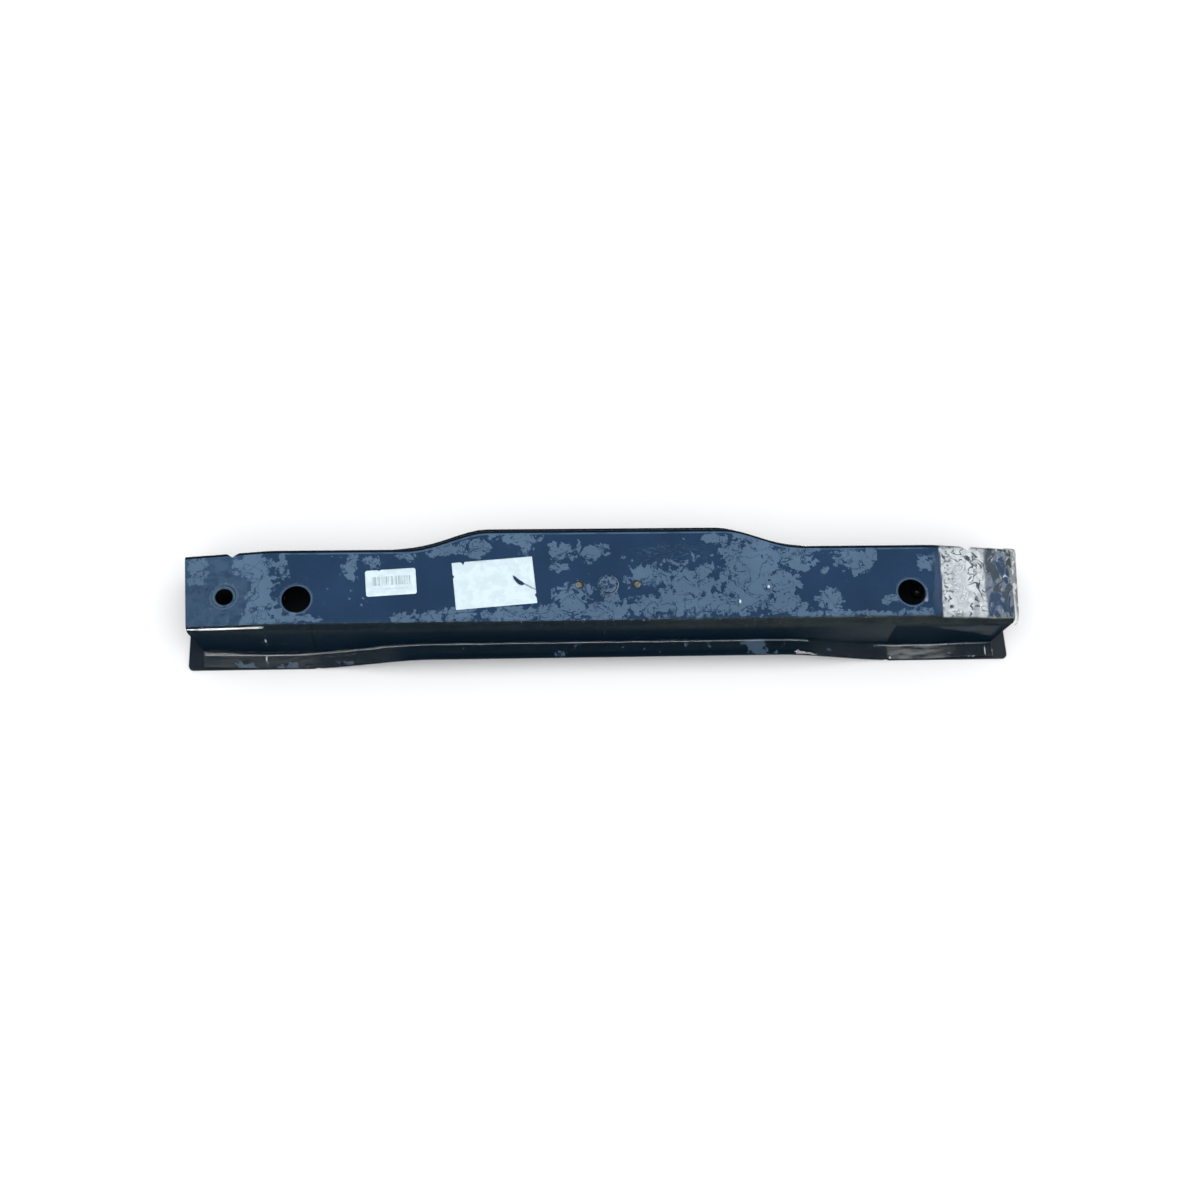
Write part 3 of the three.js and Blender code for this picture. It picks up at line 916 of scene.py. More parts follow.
def clear_film():
    """Thin glossy film: clear where tight, milky and creased where loose, with painted glare, shade
    and highlights on its wing, tip and bends.
    """
    film = Finish("clear_wrap_film")
    facing = film.node("ShaderNodeNewGeometry").outputs["Normal"]
    facing = film.node("ShaderNodeSeparateXYZ", {0: facing}).outputs[2]
    front = film.step(facing, 0.80, 0.97)
    raised = film.step(film.z, 48.0, 56.0)
    shift = film.scaled(film.noise(12.0, 4.0, 0.6), 8.0, -4.0)
    lean = film.scaled(film.y, -0.066, 2.6)
    across = film.plus(film.plus(film.x, lean), shift)
    top = film.times(front, raised)
    wing = film.times(film.step(across, 430.5, 434.0), top)
    early = film.times(film.step(film.x, 404.0, 410.0), top)
    early = film.minus(early, wing)
    seam = film.times(wing, film.step(across, 452.0, 443.0))
    loose = film.times(wing, film.step(across, 464.0, 470.0))
    crown = film.times(wing, film.step(film.y, 8.0, 20.0))
    tip = film.times(wing, film.step(across, 489.0, 494.0))
    lip = film.times(film.step(film.x, 520.0, 527.0), raised)

    # Fine relief: pimples along the wing's bend, faint drag lines elsewhere.
    pimples = film.step(film.cells(3.4), 0.42, 0.12)
    drag = film.noise(5.0, 3.0, 0.6, place=film.vector("MULTIPLY", film.place, (0.3, 1.0, 1.0)))
    relief = film.times(pimples, film.times(seam, 1.4))
    relief = film.scaled(drag, film.scaled(tip, 0.5, 0.10), relief)
    normal = film.bump(relief, 0.30, 0.7)

    # How strongly it mirrors: full on the wing, little on the tight front bend.
    glance = film.node("ShaderNodeFresnel", {"IOR": 1.45, "Normal": normal}).outputs[0]
    glance = film.maths("MINIMUM", glance, 0.085)
    bend = film.times(film.minus(1.0, front), raised)
    band = film.times(film.step(facing, 0.86, 0.80), film.step(facing, 0.58, 0.64))
    band = film.times(band, film.step(film.x, -420.0, -440.0))
    worn = film.step(film.noise(9.0, 3.0, 0.6), 0.30, 0.55)
    band = film.times(band, film.scaled(worn, 0.7, 0.3))
    held = film.times(bend, film.minus(1.0, band))
    near_edge = film.times(film.step(film.y, -55.5, -57.5), raised)
    near_edge = film.times(near_edge, film.minus(1.0, band))
    held = film.most(held, near_edge)
    upright = film.step(facing, 0.35, 0.10)
    streak = film.noise(7.0, 4.0, 0.6, place=film.vector("MULTIPLY", film.place, (0.12, 1.0, 1.0)))
    # Grey sheen on the near wall: one pane up to the fold, one wedge beyond it.
    pane_low = film.times(film.step(film.x, 215.0, 345.0), film.step(film.x, 368.0, 365.5))
    pane_low = film.times(pane_low, film.step(film.z, 10.0, 26.0))
    pane_low = film.times(pane_low, film.step(film.z, 74.0, 60.0))
    slope = film.scaled(film.x, 0.40, -226.0)
    wedge = film.step(film.plus(film.z, slope), 0.0, 4.0)
    wedge = film.times(wedge, film.step(film.x, 508.0, 500.0))
    wedge = film.times(wedge, film.step(film.z, 66.0, 58.0))
    wedge = film.times(wedge, film.step(film.x, 400.0, 430.0))
    sheen = film.most(film.times(pane_low, 0.8), wedge)
    sheen = film.times(sheen, film.step(streak, 0.25, 0.60, 0.55, 1.0))
    streak = film.step(streak, 0.52, 0.72)
    near_side = film.times(upright, film.step(film.y, -20.0, -40.0))
    sheen = film.times(sheen, near_side)
    streak = film.times(streak, 0.45)
    gloss = film.scaled(held, -0.95, 1.0)
    quiet = film.scaled(streak, 0.85, -0.98)
    gloss = film.scaled(upright, quiet, gloss)
    gloss = film.scaled(early, -0.92, gloss)

    # The wing: a speckled seam, a smooth plateau, and outlined folds beyond it.
    dots = film.step(film.noise(3.6, 3.0, 0.65), 0.54, 0.59)
    dots = film.times(dots, film.step(film.noise(9.0, 2.0, 0.5), 0.34, 0.44))
    outline = film.noise(19.0, 3.0, 0.5, warp=0.9)
    outline = film.apart(outline, 0.5)
    outline = film.step(outline, 0.026, 0.012)
    hollow = film.step(film.noise(13.0, 3.0, 0.55, warp=0.8), 0.60, 0.63)
    marks = film.most(outline, hollow)
    ruffled = film.most(loose, crown)
    marks = film.times(marks, ruffled)
    marks = film.most(marks, film.times(dots, seam))
    marks = film.step(marks, 0.40, 0.62)
    calm = film.minus(1.0, film.most(seam, ruffled))
    dull = film.scaled(calm, -0.30, 1.0)
    gloss = film.scaled(film.times(wing, dull), 0.25, gloss)
    gloss = film.times(gloss, film.scaled(marks, -0.90, 1.0))
    gloss = film.times(gloss, film.scaled(tip, -0.92, 1.0))
    low_right = film.times(film.step(film.z, 14.0, 10.0), film.step(film.x, 400.0, 430.0))
    low_right = film.times(low_right, film.step(facing, 0.96, 0.99))
    gloss = film.times(gloss, film.scaled(low_right, -0.65, 1.0))
    gloss = film.scaled(film.times(bend, band), 2.2, gloss)
    glance = film.maths("MULTIPLY", glance, gloss, clamp_it=True)

    # Milky places: on the wing, pale specks and plateau, part milky film and part painted glare,
    # with painted shade in its outlined folds and seam specks; crumples over the two small holes.
    speck = film.step(film.noise(1.3, 2.0, 0.6), 0.60, 0.68)
    cloud = film.noise(11.0, 4.0, 0.6)
    plate = film.times(wing, film.minus(1.0, tip))
    pale = film.scaled(speck, 0.14, film.scaled(calm, -0.12, 0.36))
    pale = film.scaled(film.step(cloud, 0.40, 0.60), 0.16, pale)
    haze = film.times(pale, plate)
    marked = film.times(marks, plate)
    haze = film.most(haze, film.times(marked, 0.74))
    # The tip, painted as reflections in the milky layer: grey panes with hard edges, dark panes,
    # and a few white creases as painted highlights.
    slant = film.vector("MULTIPLY", film.place, (1.0, 0.55, 1.0))
    pane = film.step(film.noise(17.0, 3.0, 0.5, place=slant, warp=1.2), 0.46, 0.50, 0.02, 0.17)
    crease = film.noise(15.0, 2.0, 0.5, place=slant, warp=1.0)
    crease = film.step(film.apart(crease, 0.44), 0.014, 0.004)
    few = film.step(film.noise(13.0, 2.0, 0.5), 0.50, 0.60)
    white = film.times(film.times(crease, few), tip)
    haze = film.scaled(tip, pane, haze)
    deep_pane = film.step(film.noise(18.0, 3.0, 0.5, place=slant, warp=0.8), 0.52, 0.55)
    deep_pane = film.times(deep_pane, tip)
    haze = film.most(haze, film.times(deep_pane, 0.62))
    haze = film.most(haze, film.times(white, 0.75))
    fray = film.step(film.noise(6.0, 3.0, 0.6, place=slant), 0.50, 0.58)
    lip_colour = film.blend(fray, (0.030, 0.045, 0.050), (0.42, 0.47, 0.48))
    haze = film.most(haze, film.times(lip, 0.80))
    # Painted highlight specks along the near front bend, and the painted highlights of the small
    # creases.
    speck_highlights = film.times(film.step(film.noise(1.5, 2.0, 0.6), 0.70, 0.76), near_edge)
    haze = film.most(haze, film.times(speck_highlights, 0.5))
    haze = film.most(haze, film.times(glints(film), 0.7))
    # The painted grey sheen on the near wall, laid into the milky layer.
    haze = film.most(haze, film.times(sheen, 0.045))
    # Pale rims where the film was cut round the holes.
    for cut_x, cut_y, radius in film_cuts():
        flat = film.vector("MULTIPLY", film.place, (1.0, 1.0, 0.0))
        away = film.vector("DISTANCE", flat, (cut_x, cut_y + CENTRE_Y, 0.0))
        rim = film.times(film.step(away, radius + 2.2, radius + 1.2), raised)
        haze = film.most(haze, film.times(rim, 0.03))
    # Streaky haze on the near flange beyond the folds near both ends.
    shelf = film.times(front, film.step(film.z, 30.0, 24.0))
    shelf = film.times(shelf, film.step(film.y, -40.0, -60.0))
    drawn = film.noise(6.0, 5.0, 0.7, place=film.vector("MULTIPLY", film.place, (0.22, 1.0, 1.0)))
    drawn = film.step(drawn, 0.38, 0.58)
    right_end = film.times(film.step(film.x, 366.0, 372.0), film.step(film.x, 470.0, 420.0))
    left_end = film.times(film.step(film.x, -356.0, -380.0), 0.22)
    drawn = film.times(drawn, film.most(right_end, left_end))
    drawn = film.scaled(drawn, 0.20, 0.018)
    haze = film.most(haze, film.times(shelf, drawn))
    # Over each small hole: a grey-beige dimple with a dark crescent of painted shade beside it.
    side = film.maths("ABSOLUTE", film.x)
    over = film.node("ShaderNodeCombineXYZ", {"X": side, "Y": film.y, "Z": 0.0}).outputs[0]
    dimple = film.vector("DISTANCE", over, (CENTRE_HOLE_X + 1.5, CENTRE_Y - 0.9, 0.0))
    over = film.vector("DISTANCE", over, (CENTRE_HOLE_X, CENTRE_Y, 0.0))
    crumple = film.times(film.step(over, 5.9, 5.2), raised)
    folds = film.noise(2.2, 3.0, 0.6)
    beige = film.brighten((0.155, 0.165, 0.14), film.step(folds, 0.35, 0.65, 0.40, 1.30))
    crumple_colour = film.blend(film.step(dimple, 4.3, 3.6), (0.006, 0.009, 0.010), beige)
    dark_share = film.most(marked, deep_pane)
    dark_share = film.times(dark_share, film.minus(1.0, white))
    shade = film.blend(dark_share, (0.80, 0.85, 0.84), (0.030, 0.045, 0.050))
    shade = film.blend(film.step(crumple, 0.0, 0.1), shade, crumple_colour)
    shade = film.blend(lip, shade, lip_colour)
    haze = film.most(haze, film.times(crumple, 0.85))

    clear = film.node("ShaderNodeBsdfTransparent").outputs[0]
    mirror = film.shader((1.0, 1.0, 1.0), 0.05, normal, metallic=1.0)
    milky = film.shader(shade, 0.5, normal)
    skin = film.node("ShaderNodeMixShader", {0: glance, 1: clear, 2: mirror}).outputs[0]
    whole = film.node("ShaderNodeMixShader", {0: haze, 1: skin, 2: milky}).outputs[0]
    return film.done(whole)


# ---------------------------------------------------------------- pieces


def weld_nut(name, centre, low, across, bore, thickness, points_up):
    """A chamfered hexagon weld nut with a thread and three welding pips."""
    sides = 48
    corner = across / 2 / math.cos(math.pi / 6)
    pitch = 1.25
    high = low + thickness

    def hexagon(radius, angle):
        share = math.cos(math.pi / 6) / math.cos((angle % (math.pi / 3)) - math.pi / 6)
        return radius * share if radius > across * 0.45 else radius

    outer = [
        (bore / 2 + 0.9, low),
        (across * 0.44, low),
        (corner, low + 0.5),
        (corner, high - 1.1),
        (corner * 0.965, high - 0.45),
        (across * 0.44, high),
        (bore / 2 + 0.9, high),
    ]
    thread = []
    z = high - 0.5
    while z > low + 0.5:
        thread.append((bore / 2, z))
        thread.append((bore / 2 + 0.55, z - pitch / 2))
        z -= pitch
    profile = [*outer, *thread, (bore / 2 + 0.9, low)]
    vertices, faces = turned(profile, sides, centre, hexagon)
    pip_z = low if points_up < 0 else high
    for k in range(3):
        angle = math.pi / 6 + k * 2 * math.pi / 3
        px = centre[0] + across * 0.36 * math.cos(angle)
        py = centre[1] + across * 0.36 * math.sin(angle)
        start = len(vertices)
        rings = ((1.3, 0.0), (1.0, 0.16), (0.5, 0.26))
        for radius, rise in rings:
            for i in range(10):
                a = 2 * math.pi * i / 10
                vertices.append(
                    (px + radius * math.cos(a), py + radius * math.sin(a), pip_z + points_up * rise)
                )
        for r in range(2):
            for i in range(10):
                j = (i + 1) % 10
                a, b = start + r * 10, start + (r + 1) * 10
                faces.append((a + i, a + j, b + j, b + i))
        faces.append(tuple(start + 20 + i for i in range(10)))
    return mesh_piece(name, vertices, faces, angle=35.0)


def paper_outline(label):
    """A label's outline in its own plane, with its rounded corners and tears."""
    points = []
    x0, y0 = label["length"] / 2, label["width"] / 2
    corner = label["corner"]
    for sx, sy, start in ((1, 1, 0), (-1, 1, 90), (-1, -1, 180), (1, -1, 270)):
        for i in range(7):
            angle = math.radians(start + 15 * i)
            points.append(
                Vector(
                    (
                        sx * (x0 - corner) + corner * math.cos(angle),
                        sy * (y0 - corner) + corner * math.sin(angle),
                    )
                )
            )
    return points


def label_sheet(name, label, material, curl):
    """A paper label cut from its outline, its tears open and its edges lifting."""
    outline = paper_outline(label)
    shape = bmesh.new()
    edge_points = []
    count = len(outline)
    for i, a in enumerate(outline):
        b = outline[(i + 1) % count]
        steps = max(1, round((b - a).length / 1.2))
        edge_points += [a.lerp(b, k / steps) for k in range(steps)]
    for tear in label["edge_tears"]:
        edge_points = [torn(p, tear) for p in edge_points]
    rim = [shape.verts.new((p.x, p.y, 0.0)) for p in edge_points]
    edges = [shape.edges.new((rim[i], rim[(i + 1) % len(rim)])) for i in range(len(rim))]
    for hole in label["holes"]:
        ring = [shape.verts.new((x, y, 0.0)) for x, y in hole]
        edges += [shape.edges.new((ring[i], ring[(i + 1) % len(ring)])) for i in range(len(ring))]
    bmesh.ops.triangle_fill(shape, use_beauty=True, edges=edges)
    for _ in range(4):
        long_edges = [e for e in shape.edges if e.calc_length() > 2.6]
        if not long_edges:
            break
        bmesh.ops.subdivide_edges(shape, edges=long_edges, cuts=1)
        bmesh.ops.triangulate(shape, faces=shape.faces)
    bmesh.ops.beautify_fill(shape, faces=shape.faces, edges=shape.edges)
    bmesh.ops.recalc_face_normals(shape, faces=shape.faces)
    if sum(f.normal.z for f in shape.faces) < 0:
        bmesh.ops.reverse_faces(shape, faces=shape.faces)
    turn = Matrix.Rotation(label["turn"], 2)
    base = FACE_Z + 0.30
    for vertex in shape.verts:
        flat = vertex.co.xy.copy()
        lift = curl(flat) + 0.03 * noise.noise(Vector((flat.x * 0.15, flat.y * 0.15, 2.0)))
        place = turn @ flat + Vector((label["x"], label["y"] + CENTRE_Y))
        vertex.co = Vector((place.x, place.y, base + max(0.0, lift))) * MM
    mesh = bpy.data.meshes.new(name)
    shape.to_mesh(mesh)
    shape.free()
    mesh.shade_smooth()
    piece = bpy.data.objects.new(name, mesh)
    bpy.context.scene.collection.objects.link(piece)
    thick = piece.modifiers.new("paper_thickness", "SOLIDIFY")
    thick.thickness = 0.15 * MM
    thick.offset = 1.0
    return finish_piece(piece, "label_paper", material, name)


def torn(point, tear):
    """Pushes an edge point inwards along a narrow ragged tear."""
    x, y, width, dx, dy = tear
    away = (point - Vector((x, y))).length
    if away > width:
        return point
    share = 1 - away / width
    ragged = 0.75 + 0.25 * math.sin(7.3 * away + 1.9 * x)
    return point + Vector((dx, dy)) * share * ragged


SMALL_LABEL = {
    "length": 62.8,
    "width": 35.3,
    "x": -271.7,
    "y": 6.2,
    "turn": math.radians(3.4),
    "corner": 3.0,
    "edge_tears": ((-14.0, 17.65, 1.8, 0.4, -2.2),),
    "holes": (),
}

LARGE_LABEL = {
    "length": 101.6,
    "width": 64.0,
    "x": -143.0,
    "y": 3.7,
    "turn": math.radians(4.6),
    "corner": 0.8,
    "edge_tears": (
        (-37.0, 32.0, 2.4, 0.5, -5.2),
        (-50.8, 13.0, 2.2, 3.4, -1.0),
        (49.5, -22.0, 3.4, -4.6, 2.2),
    ),
    "holes": (
        (
            (24.0, 8.6),
            (26.5, 6.8),
            (29.0, 4.2),
            (32.0, 1.0),
            (35.5, -1.6),
            (37.4, -4.4),
            (36.6, -6.0),
            (33.4, -6.4),
            (30.2, -4.8),
            (27.4, -1.6),
            (25.2, 2.4),
            (24.2, 5.6),
        ),
    ),
}


def film_cuts():
    """Middle and radius of each opening in the film."""
    return (
        (-ACCESS_X, ACCESS_Y, ACCESS_BORE / 2 + 1.75),
        (ACCESS_X, ACCESS_Y, ACCESS_BORE / 2 + 1.75),
        (TOW_X, TOW_Y, TOW_OUTER / 2 + 1.75),
    )


def film_rise(x, y, z, settings):
    """How far the film stands off its even gap, in millimetres."""
    tight = settings.ripple / MM
    rise = tight * noise.fractal(Vector((x, y, z)) * 0.030, 1.0, 2.0, 3)
    if z < face_at(x) - 3 and z > flange_at(x) + 5:
        drawn = Vector((x * 0.011, y * 0.02, z * 0.075 + 4.0))
        rise += tight * 2.2 * noise.fractal(drawn, 1.0, 2.0, 2) * eased(z, flange_at(x) + 5, 25)
    height = settings.loose_wrinkle / MM
    wing = eased(x, WING_BEND + 4, WING_BEND + 18)
    if wing > 0:
        sag = noise.fractal(Vector((x * 0.030, y * 0.030, 7.0)), 1.0, 2.0, 2)
        loops = eased(x, 458, 470) * eased(-x, -500, -488)
        top = eased(y, 22, 40) * eased(x, 436, 446)
        folds = noise.noise(Vector((x * 0.080, y * 0.045, 3.0)))
        folds += 0.40 * noise.noise(Vector((x * 0.19, y * 0.13, 9.0)))
        rise += wing * height * (0.24 * sag + max(loops, 0.8 * top) * 0.50 * folds)
        tip = eased(x, 484, 497) * eased(-x, -529, -500)
        streak = noise.noise(Vector(((x - 0.5 * y) * 0.075, y * 0.04, 5.0)))
        rise += height * (1.3 * tip + 0.5 * eased(x, 488, 500) * streak)
    return rise


def film_sheet(settings):
    """One continuous sheet over the front and both walls, open at three holes."""
    half = [round(i * 2.5, 3) for i in range(1, int(400 / 2.5) + 1)]
    left = [-x for x in reversed(half)] + [0.0]
    while left[0] > -HALF_LENGTH:
        left.insert(0, max(-HALF_LENGTH, left[0] - 2.5))
    right = half[:]
    while right[-1] < HALF_LENGTH:
        right.append(min(HALF_LENGTH, right[-1] + 1.5))
    # Past the right tip the loose end of the film rolls over.
    roll_over = [(0.3, 0.95, 0.2), (0.6, 0.8, 0.9), (0.85, 0.5, 2.2), (1.0, 0.2, 4.0)]
    places = [(x, 0.0, 0.0) for x in left + right]
    places += [(HALF_LENGTH, reach, drop) for reach, _, drop in roll_over]
    clearance = settings.clearance / MM
    vertices, faces, owners = [], [], []
    for x, reach, drop in places:
        near = half_section(x, -1, clearance, 2.5)
        far = half_section(x, 1, clearance, 2.5)
        rows = near + [(0.0, face_at(x) + clearance, 0.0, 1.0)] + far[::-1]
        for y, z, ny, nz in rows:
            point = place_on_beam(x, y, z)
            notch = NOTCH_DEPTH * (1 - abs(abs(point.x) - NOTCH_X) / (NOTCH_WIDTH / 2))
            if y > 0 and notch > 0 and z > face_at(x) - 18.0:
                point.y = min(point.y, wall_at(x, 1) + clearance - notch)
            rise = film_rise(point.x, point.y, point.z, settings)
            end = eased(x, HALF_LENGTH - 30, HALF_LENGTH)
            height = clamp((z - flange_at(x)) / (face_at(x) - flange_at(x)))
            stretch = (0.6 * end + reach) * (4.2 + 1.0 * y / HALF_HEIGHT) * height**0.6
            point += Vector((stretch, ny * rise, nz * rise - drop * height))
            vertices.append(point + Vector((0, CENTRE_Y, 0)))
            owners.append((x, y))
    count = len(rows)
    inside = set()
    for cx, cy, radius in film_cuts():
        for i, point in enumerate(vertices):
            if point.z > 55 and math.hypot(point.x - cx, point.y - CENTRE_Y - cy) < radius:
                inside.add(i)
    for s in range(len(places) - 1):
        for i in range(count - 1):
            a = s * count + i
            corners = (a, a + count, a + count + 1, a + 1)
            if not any(c in inside for c in corners):
                faces.append(corners)
    # The ring next to each opening is drawn onto its circle and turned up a little.
    used = {}
    for face in faces:
        for k in range(4):
            edge = tuple(sorted((face[k], face[(k + 1) % 4])))
            used[edge] = used.get(edge, 0) + 1
    border = {v for edge, n in used.items() if n == 1 for v in edge}
    for cx, cy, radius in film_cuts():
        for i in border:
            point = vertices[i]
            away = Vector((point.x - cx, point.y - CENTRE_Y - cy))
            if point.z > 55 and away.length < radius + 5:
                away = away.normalized() * radius
                vertices[i] = Vector((cx + away.x, cy + CENTRE_Y + away.y, point.z + 0.12))
    return mesh_piece("protective_film", vertices, faces, angle=180.0)


def threaded_socket():
    """The tow-eye sleeve with a chamfered mouth and a coarse inner thread."""
    low = MOUNT_TOP
    high = face_at(TOW_X) + 0.3
    inner, outer = TOW_BORE / 2, TOW_OUTER / 2
    profile = [
        (inner + 1.2, low),
        (outer - 0.6, low),
        (outer, low + 0.6),
        (outer, high - 0.8),
        (outer - 0.8, high),
        (inner + 1.8, high),
        (inner + 0.3, high - 1.5),
    ]
    z = high - 3.0
    while z > low + 3.0:
        profile.append((inner, z + 0.6))
        profile.append((inner, z))
        profile.append((inner + 1.1, z - 1.3))
        profile.append((inner + 1.1, z - 1.5))
        z -= 3.2
    profile.append((inner + 1.2, low))
    vertices, faces = turned(profile, 72, (TOW_X, TOW_Y + CENTRE_Y))
    return mesh_piece("tow_eye_socket", vertices, faces, angle=38.0)


def pressed_plug():
    """A pressed blanking plug: rolled rim, dished middle and a ribbed stem."""
    stem = PLUG_BORE / 2 - 0.3
    seat = FACE_Z + 0.3
    profile = [
        (0.0, seat - 0.35),
        (4.0, seat - 0.30),
        (6.8, seat - 0.12),
        (8.2, seat + 0.30),
        (9.6, seat + 0.40),
        (11.6, seat + 0.38),
        (12.8, seat + 0.30),
        (PLUG_HEAD, seat + 0.05),
        (PLUG_HEAD - 0.15, seat),
        (stem, seat),
        (stem, seat - 1.6),
        (stem + 0.2, seat - 3.2),
        (stem - 0.4, FACE_Z - PLUG_FOOT),
        (stem - 1.2, FACE_Z - PLUG_FOOT),
        (stem - 1.5, seat - 2.0),
        (4.0, seat - 1.2),
        (0.0, seat - 1.3),
    ]
    vertices, faces = turned(profile, 64, (0.0, CENTRE_Y))
    return mesh_piece("blanking_plug", vertices, faces, angle=60.0)


# ---------------------------------------------------------------- operators


class BEAM_OT_paint_channel(bpy.types.Operator):
    """Paint the pressed front channel"""

    bl_idname = "beam.paint_channel"
    bl_label = "Front channel"

    def execute(self, context):
        repaint_node("front_channel", blue_paint(context.scene.beam_paint))
        return {"FINISHED"}


class BEAM_OT_paint_rear(bpy.types.Operator):
    """Paint the closing plate and both mounting plates"""

    bl_idname = "beam.paint_rear"
    bl_label = "Rear plates"

    def execute(self, context):
        paint = rear_paint(context.scene.beam_paint)
        for name in ("rear_closing_plate", "left_mounting_plate", "right_mounting_plate"):
            repaint_node(name, paint)
        return {"FINISHED"}


class BEAM_OT_paint_inside(bpy.types.Operator):
    """Paint the bulkheads and the tow socket's pad"""

    bl_idname = "beam.paint_inside"
    bl_label = "Bulkheads and pad"

    def execute(self, context):
        paint = inside_paint(context.scene.beam_paint)
        for name in ("left_bulkhead", "right_bulkhead", "tow_socket_pad"):
            repaint_node(name, paint)
        return {"FINISHED"}


class BEAM_OT_weld_nuts(bpy.types.Operator):
    """Make the eight mounting nuts and the two centre nuts"""

    bl_idname = "beam.weld_nuts"
    bl_label = "Weld nuts"

    def execute(self, context):
        steel = plated_steel(context.scene.beam_metal)
        for hand, side in (("left", -1), ("right", 1)):
            for place, (x, y) in MOUNT_BOLTS.items():
                name = f"{hand}_mount_nut_{place}"
                centre = (side * x, y + CENTRE_Y)
                nut = weld_nut(name, centre, MOUNT_TOP, 17.0, 8.5, 9.0, -1)
                finish_piece(nut, "nut_steel", steel, name)
            name = f"{hand}_centre_nut"
            seat = FACE_Z - 2.0 - 0.3 - 6.5
            nut = weld_nut(name, (side * CENTRE_HOLE_X, CENTRE_Y), seat, 16.0, 6.6, 6.5, 1)
            finish_piece(nut, "nut_steel", steel, name)
        return {"FINISHED"}


class BEAM_OT_tow_socket(bpy.types.Operator):
    """Make the threaded tow-eye socket"""

    bl_idname = "beam.tow_socket"
    bl_label = "Tow-eye socket"

    def execute(self, context):
        paint = socket_paint(context.scene.beam_paint)
        finish_piece(threaded_socket(), "inner_paint", paint, "tow_eye_socket")
        return {"FINISHED"}


class BEAM_OT_blanking_plug(bpy.types.Operator):
    """Make the pressed blanking plug"""

    bl_idname = "beam.blanking_plug"
    bl_label = "Blanking plug"

    def execute(self, context):
        paint = plug_paint(context.scene.beam_paint)
        finish_piece(pressed_plug(), "plug_steel", paint, "blanking_plug")
        return {"FINISHED"}


class BEAM_OT_small_label(bpy.types.Operator):
    """Make the small label with its faded bars"""

    bl_idname = "beam.small_label"
    bl_label = "Small label"

    def execute(self, context):
        label = SMALL_LABEL
        centre = (label["x"], label["y"] + CENTRE_Y)
        settings = context.scene.beam_labels
        paper = label_paper(settings, "barred_label_paper", centre, label["turn"], True)
        label_sheet("small_label", label, paper, lambda p: 0.0)
        return {"FINISHED"}


class BEAM_OT_large_label(bpy.types.Operator):
    """Make the large blank label with its tears"""

    bl_idname = "beam.large_label"
    bl_label = "Large label"

    def execute(self, context):
        label = LARGE_LABEL
        centre = (label["x"], label["y"] + CENTRE_Y)
        settings = context.scene.beam_labels
        paper = label_paper(settings, "blank_label_paper", centre, label["turn"], False)

        def curl(p):
            tear = (p - Vector((31.0, 0.0))).length
            crease = abs((p.x - 31.0) * 0.83 + (p.y + 2.0) * 0.56)
            below = eased(p.x, 28.0, 34.0) * eased(-p.y, 2.0, 8.0)
            lifted = 0.28 * math.exp(-((tear / 7.0) ** 2))
            return lifted + 0.22 * below * math.exp(-((crease / 1.6) ** 2))

        label_sheet("large_label", label, paper, curl)
        return {"FINISHED"}


class BEAM_OT_film(bpy.types.Operator):
    """Stretch the clear film over the front and both walls"""

    bl_idname = "beam.film"
    bl_label = "Protective film"

    def execute(self, context):
        sheet = film_sheet(context.scene.beam_film)
        finish_piece(sheet, "clear_film", clear_film(), "protective_film")
        return {"FINISHED"}


class BEAM_OT_stage(bpy.types.Operator):
    """Set the floor, the studio light and the camera"""

    bl_idname = "beam.stage"
    bl_label = "Floor, light and camera"

    def execute(self, context):
        settings = context.scene.beam_stage
        lay_floor(settings)
        hang_lights(context.scene, settings)
        set_camera(context.scene)
        return {"FINISHED"}


FLOOR_REACH = 12000.0
FLOOR_Z = -0.4  # just clear of the mounting plates
CORNER_POWER = 4.0
SKY_COLOUR = (0.975, 0.985, 1.0, 1.0)
SKY_STRENGTH = 0.88

# The camera: angles in degrees round the beam.
CAMERA_AZIMUTH = -11.868
CAMERA_ELEVATION = 66.943
CAMERA_ROLL = 10.274
CAMERA_TARGET = (-9.349, -24.9, 61.8)  # millimetres
CAMERA_DISTANCE = 2.0527  # metres
CAMERA_LENS = 48.585


# Lamps, in metres: place, aim, width, height and the rays that don't see them.
LAMPS = (
    ("key_lamp", (0.0, -0.35, 2.4), (0.0, 0.0, 0.0), 3.4, 3.0, "visible_glossy"),
    ("fill_lamp", (0.0, -1.9, 1.7), (0.0, 0.0, 0.0), 2.4, 0.8, "visible_glossy"),
    ("wing_lamp", (1.14, 0.57, 1.255), (0.46, 0.0, 0.07), 0.26, 0.62, "visible_diffuse"),
    ("edge_lamp", (0.0, -0.55, 2.0), (0.0, -0.55, 0.0), 3.0, 1.1, "visible_diffuse"),
    (
        "corner_lamp",
        (-0.92, -1.38, 0.88),
        (-0.47, -0.066, 0.078),
        0.36,
        0.36,
        "visible_diffuse",
    ),
)


def lay_floor(settings):
    floor = Finish("pale_floor")
    grain = floor.noise(160.0, 3.0, 0.5)
    colour = floor.brighten(tuple(settings.floor_colour), floor.scaled(grain, 0.03, 0.985))
    material = floor.done(floor.shader(colour, 0.75, None, specular=0.1))
    corners = ((-1, -1), (1, -1), (1, 1), (-1, 1))
    points = [(x * FLOOR_REACH, y * FLOOR_REACH, FLOOR_Z) for x, y in corners]
    ground = mesh_piece("floor", points, [(0, 1, 2, 3)], False)
    ground.data.materials.append(material)


def area_lamp(name, place, aim, width, height, power):
    lamp = bpy.data.lights.new(name, "AREA")
    lamp.shape = "RECTANGLE"
    lamp.size = width
    lamp.size_y = height
    lamp.energy = power
    holder = bpy.data.objects.new(name, lamp)
    holder.location = place
    holder.rotation_mode = "QUATERNION"
    holder.rotation_quaternion = (Vector(aim) - Vector(place)).to_track_quat("-Z", "Y")
    holder.visible_camera = False
    bpy.context.scene.collection.objects.link(holder)
    return holder


